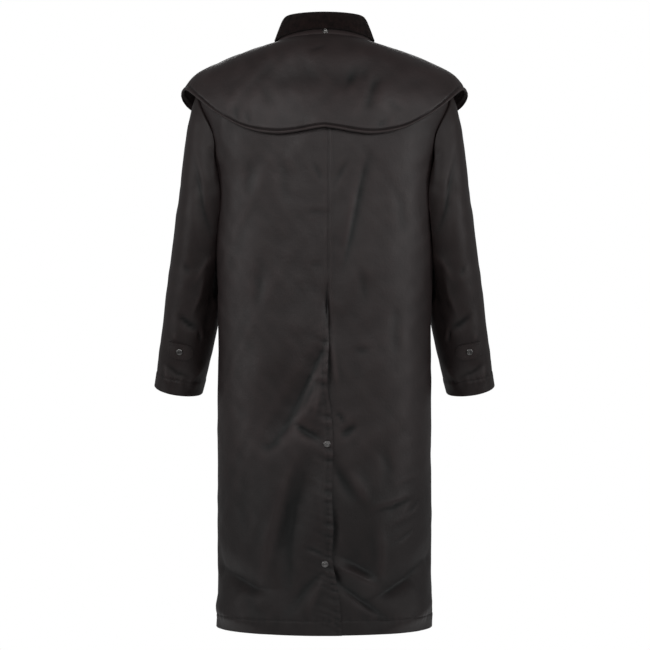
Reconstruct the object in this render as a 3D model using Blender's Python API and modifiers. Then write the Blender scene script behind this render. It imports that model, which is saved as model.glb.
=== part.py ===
"""A long waxed-cotton coat with a shoulder cape, hollow, in the form it has when it is worn.

Metres. +Z is up, +Y is the way the wearer faces and +X is the wearer's right.
The origin is the middle of the neck opening, level with the neck ends of the shoulder seams.
"""

import math
from collections import namedtuple

import bmesh
import bpy
import numpy as np
from mathutils import Vector
from mathutils.bvhtree import BVHTree

# Cloth
WAXED_COTTON = 0.0015
CORDUROY = 0.0028
SEAM_GAP = 0.0004
LAYER_GAP = 0.0007
SHARP_ANGLE = math.radians(50)
FOLD_TAPER = 0.3

# Body heights and panel grids
HEM_Z = -1.194
VENT_TOP_Z = -0.585
UNDERARM_Z = -0.275
SHOULDER_Z = -0.087
ROWS_BELOW_VENT_TOP = 14
ROWS_ABOVE_VENT_TOP = 7
ARMHOLE_SPANS = 9
SHOULDER_ROWS = 4
BACK_COLUMNS = 13
FRONT_COLUMNS = 7
RUN_SAMPLES = 600
FOLDS_FROM_SIDE = 0.05
FOLDS_FULL = 0.4

# Armholes, as angles cut off the side of each panel
BACK_SCOOP = math.radians(21)
FRONT_SCOOP = math.radians(26)
SCOOP_SKEW = 0.8
SCOOP_FULLNESS = 0.8

# Vent of the back
CENTRE_BACK_X = 0.008
VENT_STEP = 0.0050
VENT_EASE = 0.05
VENT_REACH = 0.055

# Storm flap of the front
FLAP_HALF_WIDTH = 0.036
FLAP_COLUMNS = 4
FLAP_SNAP_TOP_Z = -0.150
FLAP_SNAP_STEP = 0.170
FLAP_SNAPS = 6

# Sleeves, each a top panel and a narrower under panel
UNDER_SEAM = math.radians(120)
UNDER_COLUMNS = 6
UNDER_SEAM_GAP = math.radians(0.6)
ARMHOLE_TO_BICEPS = 0.130
CAP_SKEW = 0.6
CAP_START = 0.015
SLEEVE_FOLDS_FROM = 0.1
SLEEVE_FOLDS_FULL = 0.6
CAP_RISE = 0.010
SLEEVE_CLEARANCE = 0.003
SLEEVE_LEVEL = 0.8
SLEEVE_ROWS = 16

# Cuff tabs
TAB_FROM = math.radians(53)
TAB_TO = math.radians(109)
TAB_HALF_HEIGHT = 0.016
TAB_ABOVE_CUFF = 0.094
TAB_TIP = 0.30
TAB_TIP_CUT = 0.93
TAB_COLUMNS = 7
TAB_ROWS = 3

# Cape
CAPE_FRONT_EDGE_X = 0.045
CAPE_ROWS = 8
CAPE_BACK_COLUMNS = 24
CAPE_FRONT_COLUMNS = 10
CAPE_EASE = 0.0015
CAPE_EASE_SHARE = 0.3
CAPE_FLARE = 3.0
CAPE_SEAM_RADIUS = 0.1

# Collar
STAND_END = math.radians(178.5)
FALL_END = math.radians(177.0)
FALL_SPREAD = math.radians(15)
FALL_SPREAD_SHARE = 0.75
COLLAR_COLUMNS = 32
STAND_ROWS = 3
FALL_ROWS = 9

# Press studs
SNAP_RADIUS = 0.0070
SNAP_HEIGHT = 0.0030
SNAP_RIM = 0.35
SNAP_DOME = (0, 30, 55, 75)
STUD_FLANGE_RADIUS = 0.0062
STUD_FLANGE = 0.0010
STUD_POST_RADIUS = 0.0038
STUD_POST = 0.0030
STUD_SEGMENTS = 14
HOOD_STUD_ANGLE = 0.02
HOOD_STUD_SHARE = 0.16
SEAT_REACH = 0.03
SEAT_RAYS = 12

Ring = namedtuple("Ring", "z_back z_side z_front half_width back_depth front_depth")
TORSO = (
    Ring(HEM_Z, HEM_Z, HEM_Z, 0.2205, 0.168, 0.158),
    Ring(-1.000, -1.000, -1.000, 0.2185, 0.160, 0.152),
    Ring(-0.800, -0.800, -0.800, 0.2185, 0.153, 0.147),
    Ring(-0.600, -0.600, -0.600, 0.218, 0.149, 0.143),
    Ring(-0.430, -0.430, -0.430, 0.222, 0.149, 0.141),
    Ring(UNDERARM_Z, UNDERARM_Z, UNDERARM_Z, 0.227, 0.151, 0.140),
    Ring(-0.190, -0.190, -0.190, 0.243, 0.149, 0.133),
    Ring(-0.120, -0.120, -0.120, 0.258, 0.141, 0.119),
    Ring(SHOULDER_Z, SHOULDER_Z, SHOULDER_Z, 0.250, 0.130, 0.107),
    Ring(-0.038, -0.046, -0.078, 0.204, 0.117, 0.102),
    Ring(-0.008, -0.0205, -0.073, 0.150, 0.101, 0.098),
    Ring(0.010, -0.004, -0.070, 0.100, 0.084, 0.094),
)
COLLAR_STAND = (
    Ring(0.0108, -0.0034, -0.0692, 0.0994, 0.0834, 0.0934),
    Ring(0.0300, 0.0220, -0.0520, 0.0885, 0.0778, 0.0905),
    Ring(0.0474, 0.0458, -0.0377, 0.0776, 0.0712, 0.0884),
)
COLLAR_FALL = (
    Ring(0.0222, 0.0050, -0.0900, 0.1035, 0.0945, 0.1275),
    Ring(0.0390, 0.0290, -0.0600, 0.0935, 0.0855, 0.1075),
    Ring(0.0520, 0.0500, -0.0340, 0.0832, 0.0765, 0.0940),
    Ring(0.0556, 0.0540, -0.0295, 0.0790, 0.0724, 0.0898),
    Ring(0.0538, 0.0522, -0.0313, 0.0745, 0.0680, 0.0853),
    Ring(0.0482, 0.0466, -0.0369, 0.0722, 0.0658, 0.0830),
)

# Edges of the lapped vent: the left panel's flap over the right panel's underlap
VentEdge = namedtuple("VentEdge", "z flap_x under_x")
VENT_EDGES = (
    VentEdge(HEM_Z, 0.036, -0.030),
    VentEdge(-1.120, 0.025, -0.032),
    VentEdge(-1.000, 0.017, -0.032),
    VentEdge(-0.815, 0.016, -0.032),
    VentEdge(-0.680, 0.006, -0.030),
    VentEdge(-0.625, 0.007, -0.022),
    VentEdge(VENT_TOP_Z, CENTRE_BACK_X, CENTRE_BACK_X),
)
VentSnap = namedtuple("VentSnap", "name x z")
VENT_SNAPS = (VentSnap("snap_vent_upper", 0.005, -0.814), VentSnap("snap_vent_lower", 0.001, -1.052))

# Largest folds, each a straight ridge (positive height) or trough seen square on
Fold = namedtuple("Fold", "x_from z_from x_to z_to width height")
BACK_FOLDS = (
    Fold(0.092, -0.225, 0.036, -0.480, 0.020, -0.0045),
    Fold(0.000, -0.640, -0.068, -0.785, 0.026, 0.0045),
    Fold(0.012, -0.690, -0.028, -0.790, 0.026, -0.0040),
    Fold(-0.068, -0.870, -0.132, -1.110, 0.024, 0.0080),
    Fold(-0.022, -0.825, -0.080, -1.120, 0.026, -0.0095),
    Fold(0.030, -1.050, 0.140, -1.145, 0.022, -0.0075),
    Fold(0.135, -1.150, 0.200, -1.020, 0.022, -0.0065),
    Fold(0.060, -1.000, 0.150, -1.070, 0.026, 0.0060),
)
FRONT_FOLDS = (
    Fold(-0.085, -0.300, -0.060, -0.620, 0.026, -0.0050),
    Fold(-0.110, -0.760, -0.125, -1.150, 0.028, -0.0080),
    Fold(0.095, -0.330, 0.070, -0.600, 0.026, -0.0045),
    Fold(0.120, -0.720, 0.105, -1.160, 0.028, 0.0070),
)
SLEEVE_BACK_FOLDS = (
    Fold(0.268, -0.265, 0.226, -0.420, 0.016, -0.0050),
    Fold(0.245, -0.470, 0.290, -0.560, 0.016, 0.0035),
)

SleeveRing = namedtuple("SleeveRing", "x y z half_width half_depth")
SLEEVE = (
    SleeveRing(0.2405, 0.012, -0.300, 0.0560, 0.080),
    SleeveRing(0.2610, 0.032, -0.450, 0.0560, 0.073),
    SleeveRing(0.2817, 0.060, -0.600, 0.0565, 0.066),
    SleeveRing(0.3049, 0.086, -0.710, 0.0500, 0.059),
)

CapeHem = namedtuple("CapeHem", "degrees z stand_off")
CAPE_HEM = (
    CapeHem(0, -0.186, 0.014),
    CapeHem(25, -0.197, 0.013),
    CapeHem(40, -0.183, 0.015),
    CapeHem(52, -0.157, 0.018),
    CapeHem(67, -0.121, 0.022),
    CapeHem(84, -0.098, 0.031),
    CapeHem(100, -0.121, 0.036),
    CapeHem(120, -0.160, 0.022),
    CapeHem(150, -0.185, 0.012),
    CapeHem(180, -0.190, 0.010),
)

Finish = namedtuple("Finish", "name colour roughness metallic")
WAXED = Finish("waxed_cotton", (0.036, 0.030, 0.029), 0.55, 0.0)
CORD = Finish("brown_corduroy", (0.018, 0.010, 0.009), 0.90, 0.0)
GUNMETAL = Finish("gunmetal", (0.21, 0.20, 0.20), 0.32, 1.0)


def smooth_step(low, high, x):
    t = np.clip((x - low) / (high - low), 0.0, 1.0)
    return t * t * (3.0 - 2.0 * t)


def curve_through(stops, values, x):
    """Smooth curve through the points (stops, values), read at x. Values may be rows of numbers."""
    slopes = np.gradient(values, stops, axis=0)
    i = np.clip(np.searchsorted(stops, x, side="right") - 1, 0, len(stops) - 2)
    span = stops[i + 1] - stops[i]
    t = (x - stops[i]) / span
    start = values[i] * (1 + 2 * t) * (1 - t) ** 2 + slopes[i] * span * t * (1 - t) ** 2
    end = values[i + 1] * t**2 * (3 - 2 * t) + slopes[i + 1] * span * t**2 * (t - 1)
    return start + end


def unit(vectors):
    return vectors / np.linalg.norm(vectors, axis=-1, keepdims=True)


def normals_of(surface, a, b, step=1e-4):
    along_a = surface(a + step, b) - surface(a - step, b)
    along_b = surface(a, b + step) - surface(a, b - step)
    return unit(np.cross(along_a, along_b))


class Rings:
    """Surface through stacked rings. Angle 0 is the centre back, and +90 degrees the wearer's right side."""

    def __init__(self, rings):
        self.columns = {name: np.array([getattr(ring, name) for ring in rings]) for name in Ring._fields}
        steps = np.hypot(np.diff(self.columns["half_width"]), np.diff(self.columns["z_side"]))
        self.stops = np.concatenate([[0.0], np.cumsum(steps)])
        self.length = self.stops[-1]

    def size(self, name, run):
        return curve_through(self.stops, self.columns[name], run)

    def point(self, angle, run):
        side, ahead = np.sin(angle), np.cos(angle)
        depth = np.where(ahead > 0, self.size("back_depth", run), self.size("front_depth", run))
        level = self.size("z_side", run)
        end = np.where(ahead > 0, self.size("z_back", run), self.size("z_front", run))
        z = level + (end - level) * ahead**2
        return np.stack([self.size("half_width", run) * side, -depth * ahead, z], axis=-1)

    def moved_out(self, angle, run, by):
        return self.point(angle, run) + normals_of(self.point, angle, run) * np.asarray(by)[..., None]


torso = Rings(TORSO)
TORSO_RUNS = np.linspace(0.0, torso.length, RUN_SAMPLES)
TORSO_HEIGHTS = torso.size("z_side", TORSO_RUNS)


def run_at(z):
    return np.interp(z, TORSO_HEIGHTS, TORSO_RUNS)


UNDERARM_RUN = run_at(UNDERARM_Z)
SHOULDER_RUN = run_at(SHOULDER_Z)


def armhole_share(phi):
    """Share of the armhole's height, for an angle round it from the shoulder point."""
    return (1 + np.cos(phi)) / 2


def body_rows():
    skirt = run_at(np.linspace(HEM_Z, VENT_TOP_Z, ROWS_BELOW_VENT_TOP + 1))
    waist = run_at(np.linspace(VENT_TOP_Z, UNDERARM_Z, ROWS_ABOVE_VENT_TOP + 1))
    share = armhole_share(np.linspace(math.pi, 0.0, ARMHOLE_SPANS + 1))
    armhole = UNDERARM_RUN + (SHOULDER_RUN - UNDERARM_RUN) * share
    shoulder = np.linspace(SHOULDER_RUN, torso.length, SHOULDER_ROWS + 1)
    return np.concatenate([skirt[:-1], waist[:-1], armhole[:-1], shoulder])


BODY_ROWS = body_rows()


def row_run(v, rows):
    return np.interp(v, np.linspace(0.0, 1.0, len(rows)), rows)


def scoop(run):
    """Shape of the armhole: 0 at the underarm and the shoulder, 1 where it is cut deepest."""
    share = np.clip((run - UNDERARM_RUN) / (SHOULDER_RUN - UNDERARM_RUN), 0.0, 1.0)
    return np.maximum(np.sin(math.pi * share**SCOOP_SKEW), 0.0) ** SCOOP_FULLNESS


def back_side_angle(run):
    return math.pi / 2 - BACK_SCOOP * scoop(run)


def front_side_angle(run):
    return math.pi / 2 + FRONT_SCOOP * scoop(run)


def angle_at_x(x, run):
    return np.arcsin(x / torso.size("half_width", run))


def fold_height(folds, x, z):
    height = np.zeros_like(x)
    for fold in folds:
        dx, dz = fold.x_to - fold.x_from, fold.z_to - fold.z_from
        length = math.hypot(dx, dz)
        along = ((x - fold.x_from) * dx + (z - fold.z_from) * dz) / length**2
        across = ((x - fold.x_from) * dz - (z - fold.z_from) * dx) / length
        ends = smooth_step(0.0, FOLD_TAPER, along) * smooth_step(1.0, 1.0 - FOLD_TAPER, along)
        height += fold.height * ends * np.exp(-((across / fold.width) ** 2))
    return height


def body(angle, run, out):
    """Point of the coat's body, moved out from its folded surface."""
    x, _, z = np.moveaxis(torso.point(angle, run), -1, 0)
    facing_back = np.cos(angle)
    height = fold_height(BACK_FOLDS, x, z) * smooth_step(FOLDS_FROM_SIDE, FOLDS_FULL, facing_back)
    height += fold_height(FRONT_FOLDS, x, z) * smooth_step(FOLDS_FROM_SIDE, FOLDS_FULL, -facing_back)
    return torso.moved_out(angle, run, height + out)


def vent_edge(column, run):
    z = torso.size("z_side", run)
    heights = [edge.z for edge in VENT_EDGES]
    return np.interp(z, heights, [getattr(edge, column) for edge in VENT_EDGES])


def vent_share(run):
    """1 where the two back panels lap at the vent, easing to 0 above it."""
    z = torso.size("z_side", run)
    return smooth_step(VENT_TOP_Z + VENT_EASE, VENT_TOP_Z, z)


def back_left(u, v, out):
    run = row_run(v, BODY_ROWS)
    low = SEAM_GAP / torso.size("back_depth", run) - back_side_angle(run)
    high = angle_at_x(vent_edge("flap_x", run) - SEAM_GAP / 2, run)
    angle = low + (high - low) * u
    x = torso.point(angle, run)[..., 0]
    lift = VENT_STEP / 2 * vent_share(run) * smooth_step(-2 * VENT_REACH, -VENT_REACH, x)
    return body(angle, run, lift + out)


def back_right(u, v, out):
    run = row_run(v, BODY_ROWS)
    low = angle_at_x(vent_edge("under_x", run) + SEAM_GAP / 2, run)
    high = back_side_angle(run) - SEAM_GAP / torso.size("back_depth", run)
    angle = low + (high - low) * u
    x = torso.point(angle, run)[..., 0]
    lift = -VENT_STEP / 2 * vent_share(run) * smooth_step(2 * VENT_REACH, VENT_REACH, x)
    return body(angle, run, lift + out)


def front_right(u, v, out):
    run = row_run(v, BODY_ROWS)
    low = front_side_angle(run) + SEAM_GAP / torso.size("front_depth", run)
    high = math.pi - SEAM_GAP / torso.size("half_width", run)
    return body(low + (high - low) * u, run, out)


def front_left(u, v, out):
    run = row_run(v, BODY_ROWS)
    low = SEAM_GAP / torso.size("half_width", run) - math.pi
    high = -front_side_angle(run) - SEAM_GAP / torso.size("front_depth", run)
    return body(low + (high - low) * u, run, out)


FLAP_ROWS = BODY_ROWS[:-SHOULDER_ROWS]


def storm_flap(u, v, out):
    run = row_run(v, FLAP_ROWS)
    half = angle_at_x(FLAP_HALF_WIDTH, run)
    return body(math.pi + half * (1 - 2 * u), run, LAYER_GAP + out)


def armhole(phi):
    """Edge of the right armhole, drawn in by the seam gap; phi is 0 at the shoulder, positive at the back."""
    run = UNDERARM_RUN + (SHOULDER_RUN - UNDERARM_RUN) * armhole_share(phi)
    angle = np.where(np.sin(phi) > 0, back_side_angle(run), front_side_angle(run))
    edge = torso.point(angle, run)
    middle_run = np.array([(UNDERARM_RUN + SHOULDER_RUN) / 2])
    middle = torso.point(np.array([math.pi / 2]), middle_run)
    return edge + unit(middle - edge) * SEAM_GAP


SLEEVE_CENTRES = np.array([(ring.x, ring.y, ring.z) for ring in SLEEVE])
SLEEVE_STEPS = np.linalg.norm(np.diff(SLEEVE_CENTRES, axis=0), axis=1)
SLEEVE_STOPS = np.cumsum([0.0, ARMHOLE_TO_BICEPS, *SLEEVE_STEPS])
SLEEVE_LENGTH = SLEEVE_STOPS[-1]


def sleeve_rings(phi):
    """Points of every ring of the right sleeve at the angles phi, from the armhole to the cuff."""
    tangents = unit(np.gradient(SLEEVE_CENTRES, SLEEVE_STOPS[1:], axis=0))
    rings = [armhole(phi)]
    for ring, centre, tangent in zip(SLEEVE, SLEEVE_CENTRES, tangents):
        sideways = np.array([1.0, 0.0, -SLEEVE_LEVEL * tangent[0] / tangent[2]])
        ahead = unit(np.array([0.0, 1.0, 0.0]) - tangent * tangent[1])
        out_x = np.cos(phi)[:, None] * unit(sideways) * ring.half_width
        out_y = np.sin(phi)[:, None] * ahead * ring.half_depth
        rings.append(centre + out_x - out_y)
    return np.stack(rings)


def clear_of_body(points):
    """The points, those too near the coat's body moved away from its axis."""
    run = np.minimum(run_at(points[:, 2]), SHOULDER_RUN)
    half_width = torso.size("half_width", run)
    depth = np.where(points[:, 1] < 0, torso.size("back_depth", run), torso.size("front_depth", run))
    reach = np.hypot(points[:, 0] / half_width, points[:, 1] / depth)
    push = np.maximum((1 + SLEEVE_CLEARANCE / half_width) / reach, 1.0)
    return points * np.stack([push, push, np.ones_like(push)], axis=-1)


def sleeve_point(phi, along):
    """Point of the right sleeve's outer surface; along runs from the armhole to the cuff."""
    rings = sleeve_rings(phi)
    spans = np.arange(len(phi))
    slopes = np.gradient(rings, SLEEVE_STOPS, axis=0)
    i = np.clip(np.searchsorted(SLEEVE_STOPS, along, side="right") - 1, 0, len(SLEEVE_STOPS) - 2)
    span = (SLEEVE_STOPS[i + 1] - SLEEVE_STOPS[i])[:, None]
    t = (along - SLEEVE_STOPS[i])[:, None] / span
    start = rings[i, spans] * (1 + 2 * t) * (1 - t) ** 2 + slopes[i, spans] * span * t * (1 - t) ** 2
    end = rings[i + 1, spans] * t**2 * (3 - 2 * t) + slopes[i + 1, spans] * span * t**2 * (t - 1)
    points = start + end
    cap = np.sin(math.pi * np.clip(along / ARMHOLE_TO_BICEPS, 0.0, 1.0) ** CAP_SKEW)
    points[:, 0] += CAP_RISE * np.maximum(np.cos(phi), 0.0) * cap
    folds = fold_height(SLEEVE_BACK_FOLDS, points[:, 0], points[:, 2])
    points[:, 1] -= folds * smooth_step(SLEEVE_FOLDS_FROM, SLEEVE_FOLDS_FULL, np.sin(phi))
    started = smooth_step(0.0, CAP_START, along)[:, None]
    return points + (clear_of_body(points) - points) * started


def sleeve_at(phi, along, out):
    return sleeve_point(phi, along) + normals_of(sleeve_point, phi, along) * out


def sleeve_panel(start, end, u, v, out):
    span = end - start - 2 * UNDER_SEAM_GAP
    return sleeve_at(start + UNDER_SEAM_GAP + span * u, SLEEVE_LENGTH * v, out)


def sleeve_top(u, v, out):
    return sleeve_panel(-UNDER_SEAM, UNDER_SEAM, u, v, out)


def sleeve_under(u, v, out):
    return sleeve_panel(UNDER_SEAM, math.tau - UNDER_SEAM, u, v, out)


def cuff_tab(u, v, out):
    phi = TAB_FROM + (TAB_TO - TAB_FROM) * u
    rounded = np.sqrt(1 - np.clip((u - 1 + TAB_TIP) / TAB_TIP, 0.0, TAB_TIP_CUT) ** 2)
    along = SLEEVE_LENGTH - TAB_ABOVE_CUFF + TAB_HALF_HEIGHT * rounded * (2 * v - 1)
    return sleeve_at(phi, along, LAYER_GAP + out)


def mirrored(surface):
    return lambda u, v, out: surface(u, v, out) * np.array([-1.0, 1.0, 1.0])


def cape_hem(column, angle):
    degrees = np.array([row.degrees for row in CAPE_HEM], float)
    values = np.array([getattr(row, column) for row in CAPE_HEM])
    return curve_through(degrees, values, np.degrees(np.abs(angle)))


def cape(angle, t, out):
    """Point of the cape, made from the body's surface and moved out; t is 0 at the neck and 1 at the hem."""
    run = torso.length + (run_at(cape_hem("z", angle)) - torso.length) * t
    ease = CAPE_EASE * smooth_step(0.0, CAPE_EASE_SHARE, t)
    flare = cape_hem("stand_off", angle) * t**CAPE_FLARE
    return torso.moved_out(angle, run, LAYER_GAP + ease + flare + out)


def cape_back(u, v, out):
    end = math.pi / 2 - SEAM_GAP / CAPE_SEAM_RADIUS
    return cape(end * (2 * u - 1), v, out)


def cape_front(u, v, out):
    start = math.pi / 2 + SEAM_GAP / CAPE_SEAM_RADIUS
    run = torso.length + (run_at(CAPE_HEM[-1].z) - torso.length) * v
    end = math.pi - angle_at_x(CAPE_FRONT_EDGE_X, run)
    return cape(start + (end - start) * u, v, out)


stand_rings = Rings(COLLAR_STAND)
fall_rings = Rings(COLLAR_FALL)


def collar_stand(u, v, out):
    return stand_rings.moved_out(STAND_END * (2 * u - 1), stand_rings.length * v, np.zeros_like(u) + out)


def collar_fall(u, v, out):
    spread = smooth_step(FALL_SPREAD_SHARE, 0.0, v)
    end = FALL_END - FALL_SPREAD * spread
    return fall_rings.moved_out(end * (2 * u - 1), fall_rings.length * v, np.zeros_like(u) + out)


def material_of(finish):
    material = bpy.data.materials.get(finish.name) or bpy.data.materials.new(finish.name)
    material.use_nodes = True
    shader = material.node_tree.nodes["Principled BSDF"]
    shader.inputs["Base Color"].default_value = (*finish.colour, 1.0)
    shader.inputs["Roughness"].default_value = finish.roughness
    shader.inputs["Metallic"].default_value = finish.metallic
    return material


def place(name, mesh, finish):
    part = bpy.data.objects.new(name, mesh)
    mesh.materials.append(material_of(finish))
    bpy.data.collections["wax_coat"].objects.link(part)
    part.parent = bpy.data.objects["coat"]
    return part


def cloth(name, surface, columns, rows, low, high, finish=WAXED):
    """Thin solid between the surface moved out by low and by high, from a grid bent to its form."""
    bm = bmesh.new()
    bmesh.ops.create_grid(bm, x_segments=columns, y_segments=rows, size=0.5)
    outer = list(bm.verts)
    grown = bmesh.ops.extrude_face_region(bm, geom=list(bm.faces))
    inner = [item for item in grown["geom"] if isinstance(item, bmesh.types.BMVert)]
    for verts, out in ((outer, high), (inner, low)):
        spots = np.array([vert.co[:2] for vert in verts]) + 0.5
        for vert, point in zip(verts, surface(spots[:, 0], spots[:, 1], out)):
            vert.co = point
    bmesh.ops.recalc_face_normals(bm, faces=bm.faces)
    if bm.calc_volume(signed=True) < 0:
        bmesh.ops.reverse_faces(bm, faces=bm.faces)
    mesh = bpy.data.meshes.new(name)
    bm.to_mesh(mesh)
    bm.free()
    mesh.shade_smooth()
    mesh.set_sharp_from_angle(angle=SHARP_ANGLE)
    return place(name, mesh, finish)


def seat_on(carrier, point, axis, radius):
    """Where a disc of this radius rests on the carrier, a seam gap clear of it."""
    mesh = carrier.data
    tree = BVHTree.FromPolygons([v.co for v in mesh.vertices], [p.vertices for p in mesh.polygons])
    side = axis.orthogonal().normalized()
    up = axis.cross(side)
    above = point + axis * SEAT_REACH
    nearest = tree.ray_cast(above, -axis, 2 * SEAT_REACH)[3]
    for i in range(SEAT_RAYS):
        turn = math.tau * i / SEAT_RAYS
        start = above + (side * math.cos(turn) + up * math.sin(turn)) * radius
        distance = tree.ray_cast(start, -axis, 2 * SEAT_REACH)[3]
        nearest = min(nearest, distance or nearest)
    return above - axis * (nearest - SEAM_GAP)


def turned(name, profile, carrier, point, axis, radius):
    """Stud turned from a profile of (radius, height) points, top to bottom, seated on the carrier."""
    mesh = bpy.data.meshes.new(name)
    edges = [(i, i + 1) for i in range(len(profile) - 1)]
    mesh.from_pydata([(r, 0.0, z) for r, z in profile], edges, [])
    stud = place(name, mesh, GUNMETAL)
    screw = stud.modifiers.new("turn", "SCREW")
    screw.steps = STUD_SEGMENTS
    screw.render_steps = STUD_SEGMENTS
    screw.use_merge_vertices = True
    screw.merge_threshold = 0.00001
    screw.use_smooth_shade = False
    axis = Vector(axis).normalized()
    stud.location = seat_on(carrier, Vector(point), axis, radius)
    stud.rotation_euler = axis.to_track_quat("Z", "Y").to_euler()
    return stud


def snap_profile():
    dome = [math.radians(a) for a in SNAP_DOME]
    rim = SNAP_RIM * SNAP_HEIGHT
    points = [(SNAP_RADIUS * math.sin(a), rim + (SNAP_HEIGHT - rim) * math.cos(a)) for a in dome]
    return points + [(SNAP_RADIUS, rim), (SNAP_RADIUS, 0.0), (0.0, 0.0)]


def hood_stud_profile():
    top = STUD_FLANGE + STUD_POST
    post = [(0.0, top), (STUD_POST_RADIUS, top), (STUD_POST_RADIUS, STUD_FLANGE)]
    return post + [(STUD_FLANGE_RADIUS, STUD_FLANGE), (STUD_FLANGE_RADIUS, 0.0), (0.0, 0.0)]


def one(surface, *spot):
    """A single point of a surface that takes arrays."""
    return surface(*(np.array([value]) for value in spot))[0]


def vent_snaps(carrier):
    for snap in VENT_SNAPS:
        run = run_at(snap.z)
        angle = angle_at_x(snap.x, run)
        axis = one(lambda a, r: normals_of(torso.point, a, r), angle, run)
        turned(snap.name, snap_profile(), carrier, one(torso.point, angle, run), axis, SNAP_RADIUS)


def flap_snaps(carrier):
    for i in range(FLAP_SNAPS):
        run = run_at(FLAP_SNAP_TOP_Z - i * FLAP_SNAP_STEP)
        axis = one(lambda a, r: normals_of(torso.point, a, r), math.pi, run)
        point = one(torso.point, math.pi, run)
        turned(f"snap_front_{i + 1}", snap_profile(), carrier, point, axis, SNAP_RADIUS)


def cuff_snap(name, carrier, side):
    phi, along = (TAB_FROM + TAB_TO) / 2, SLEEVE_LENGTH - TAB_ABOVE_CUFF
    flip = np.array([side, 1.0, 1.0])
    axis = one(lambda a, b: normals_of(sleeve_point, a, b), phi, along) * flip
    turned(name, snap_profile(), carrier, one(sleeve_point, phi, along) * flip, axis, SNAP_RADIUS)


def hood_stud(carrier):
    run = HOOD_STUD_SHARE * stand_rings.length
    axis = one(lambda a, r: normals_of(stand_rings.point, a, r), HOOD_STUD_ANGLE, run)
    point = one(stand_rings.point, HOOD_STUD_ANGLE, run)
    turned("hood_stud", hood_stud_profile(), carrier, point, axis, STUD_FLANGE_RADIUS)


def make_body():
    rows = len(BODY_ROWS) - 1
    left = cloth("back_left", back_left, BACK_COLUMNS, rows, -WAXED_COTTON, 0.0)
    cloth("back_right", back_right, BACK_COLUMNS, rows, -WAXED_COTTON, 0.0)
    cloth("front_left", front_left, FRONT_COLUMNS, rows, -WAXED_COTTON, 0.0)
    cloth("front_right", front_right, FRONT_COLUMNS, rows, -WAXED_COTTON, 0.0)
    flap = cloth("storm_flap", storm_flap, FLAP_COLUMNS, len(FLAP_ROWS) - 1, 0.0, WAXED_COTTON)
    vent_snaps(left)
    flap_snaps(flap)


def make_sleeves():
    for name, side, top, under, tab in (
        ("right", 1.0, sleeve_top, sleeve_under, cuff_tab),
        ("left", -1.0, mirrored(sleeve_top), mirrored(sleeve_under), mirrored(cuff_tab)),
    ):
        top_columns = 2 * ARMHOLE_SPANS - UNDER_COLUMNS
        cloth(f"sleeve_top_{name}", top, top_columns, SLEEVE_ROWS, -WAXED_COTTON, 0.0)
        cloth(f"sleeve_under_{name}", under, UNDER_COLUMNS, SLEEVE_ROWS, -WAXED_COTTON, 0.0)
        strap = cloth(f"cuff_tab_{name}", tab, TAB_COLUMNS, TAB_ROWS, 0.0, 2 * WAXED_COTTON)
        cuff_snap(f"snap_cuff_{name}", strap, side)


def make_cape():
    cloth("cape_back", cape_back, CAPE_BACK_COLUMNS, CAPE_ROWS, 0.0, WAXED_COTTON)
    cloth("cape_front_right", cape_front, CAPE_FRONT_COLUMNS, CAPE_ROWS, 0.0, WAXED_COTTON)
    cloth("cape_front_left", mirrored(cape_front), CAPE_FRONT_COLUMNS, CAPE_ROWS, 0.0, WAXED_COTTON)


def make_collar():
    stand = cloth("collar_stand", collar_stand, COLLAR_COLUMNS, STAND_ROWS, -WAXED_COTTON, 0.0)
    cloth("collar_fall", collar_fall, COLLAR_COLUMNS, FALL_ROWS, -CORDUROY, 0.0, CORD)
    hood_stud(stand)


def start_scene():
    for item in list(bpy.data.objects):
        bpy.data.objects.remove(item, do_unlink=True)
    collection = bpy.data.collections.new("wax_coat")
    bpy.context.scene.collection.children.link(collection)
    collection.objects.link(bpy.data.objects.new("coat", None))


start_scene()
make_body()
make_sleeves()
make_cape()
make_collar()
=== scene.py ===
"""Scene of the long waxed-cotton coat: creased cloth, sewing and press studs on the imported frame.

Metres. +Z is up, +Y is the way the wearer faces and +X is the wearer's right.
"""

import math
from collections import namedtuple

import bpy
import numpy as np
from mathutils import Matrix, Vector


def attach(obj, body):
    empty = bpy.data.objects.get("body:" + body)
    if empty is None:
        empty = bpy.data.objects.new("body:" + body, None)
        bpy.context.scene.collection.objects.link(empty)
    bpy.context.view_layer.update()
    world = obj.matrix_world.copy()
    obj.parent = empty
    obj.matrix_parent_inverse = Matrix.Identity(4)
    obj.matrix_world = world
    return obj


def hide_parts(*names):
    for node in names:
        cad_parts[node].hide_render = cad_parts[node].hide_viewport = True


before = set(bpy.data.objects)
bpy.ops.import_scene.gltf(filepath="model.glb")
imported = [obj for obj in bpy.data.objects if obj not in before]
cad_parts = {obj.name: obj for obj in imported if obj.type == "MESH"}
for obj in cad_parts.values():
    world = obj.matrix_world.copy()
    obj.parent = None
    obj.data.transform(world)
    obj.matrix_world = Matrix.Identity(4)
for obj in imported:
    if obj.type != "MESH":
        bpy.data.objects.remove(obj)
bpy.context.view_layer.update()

# Cloth
WAXED_COTTON = 0.0015
CORDUROY = 0.0028
SEAM_LAP = 0.0009
LAYER_GAP = 0.0007
SHARP_ANGLE = math.radians(50)
COLUMN_CLOSENESS = 0.5
ROW_CLOSENESS = 0.8
CREASE_TAPER = 0.45
CREASE_REACH = 3.5
# Reach over which the cloth's ridges and troughs are measured for its painted crease shade
CREASE_SHADE_REACH = 0.009
NORMAL_STEP = 0.0001
MM = 0.001

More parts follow.
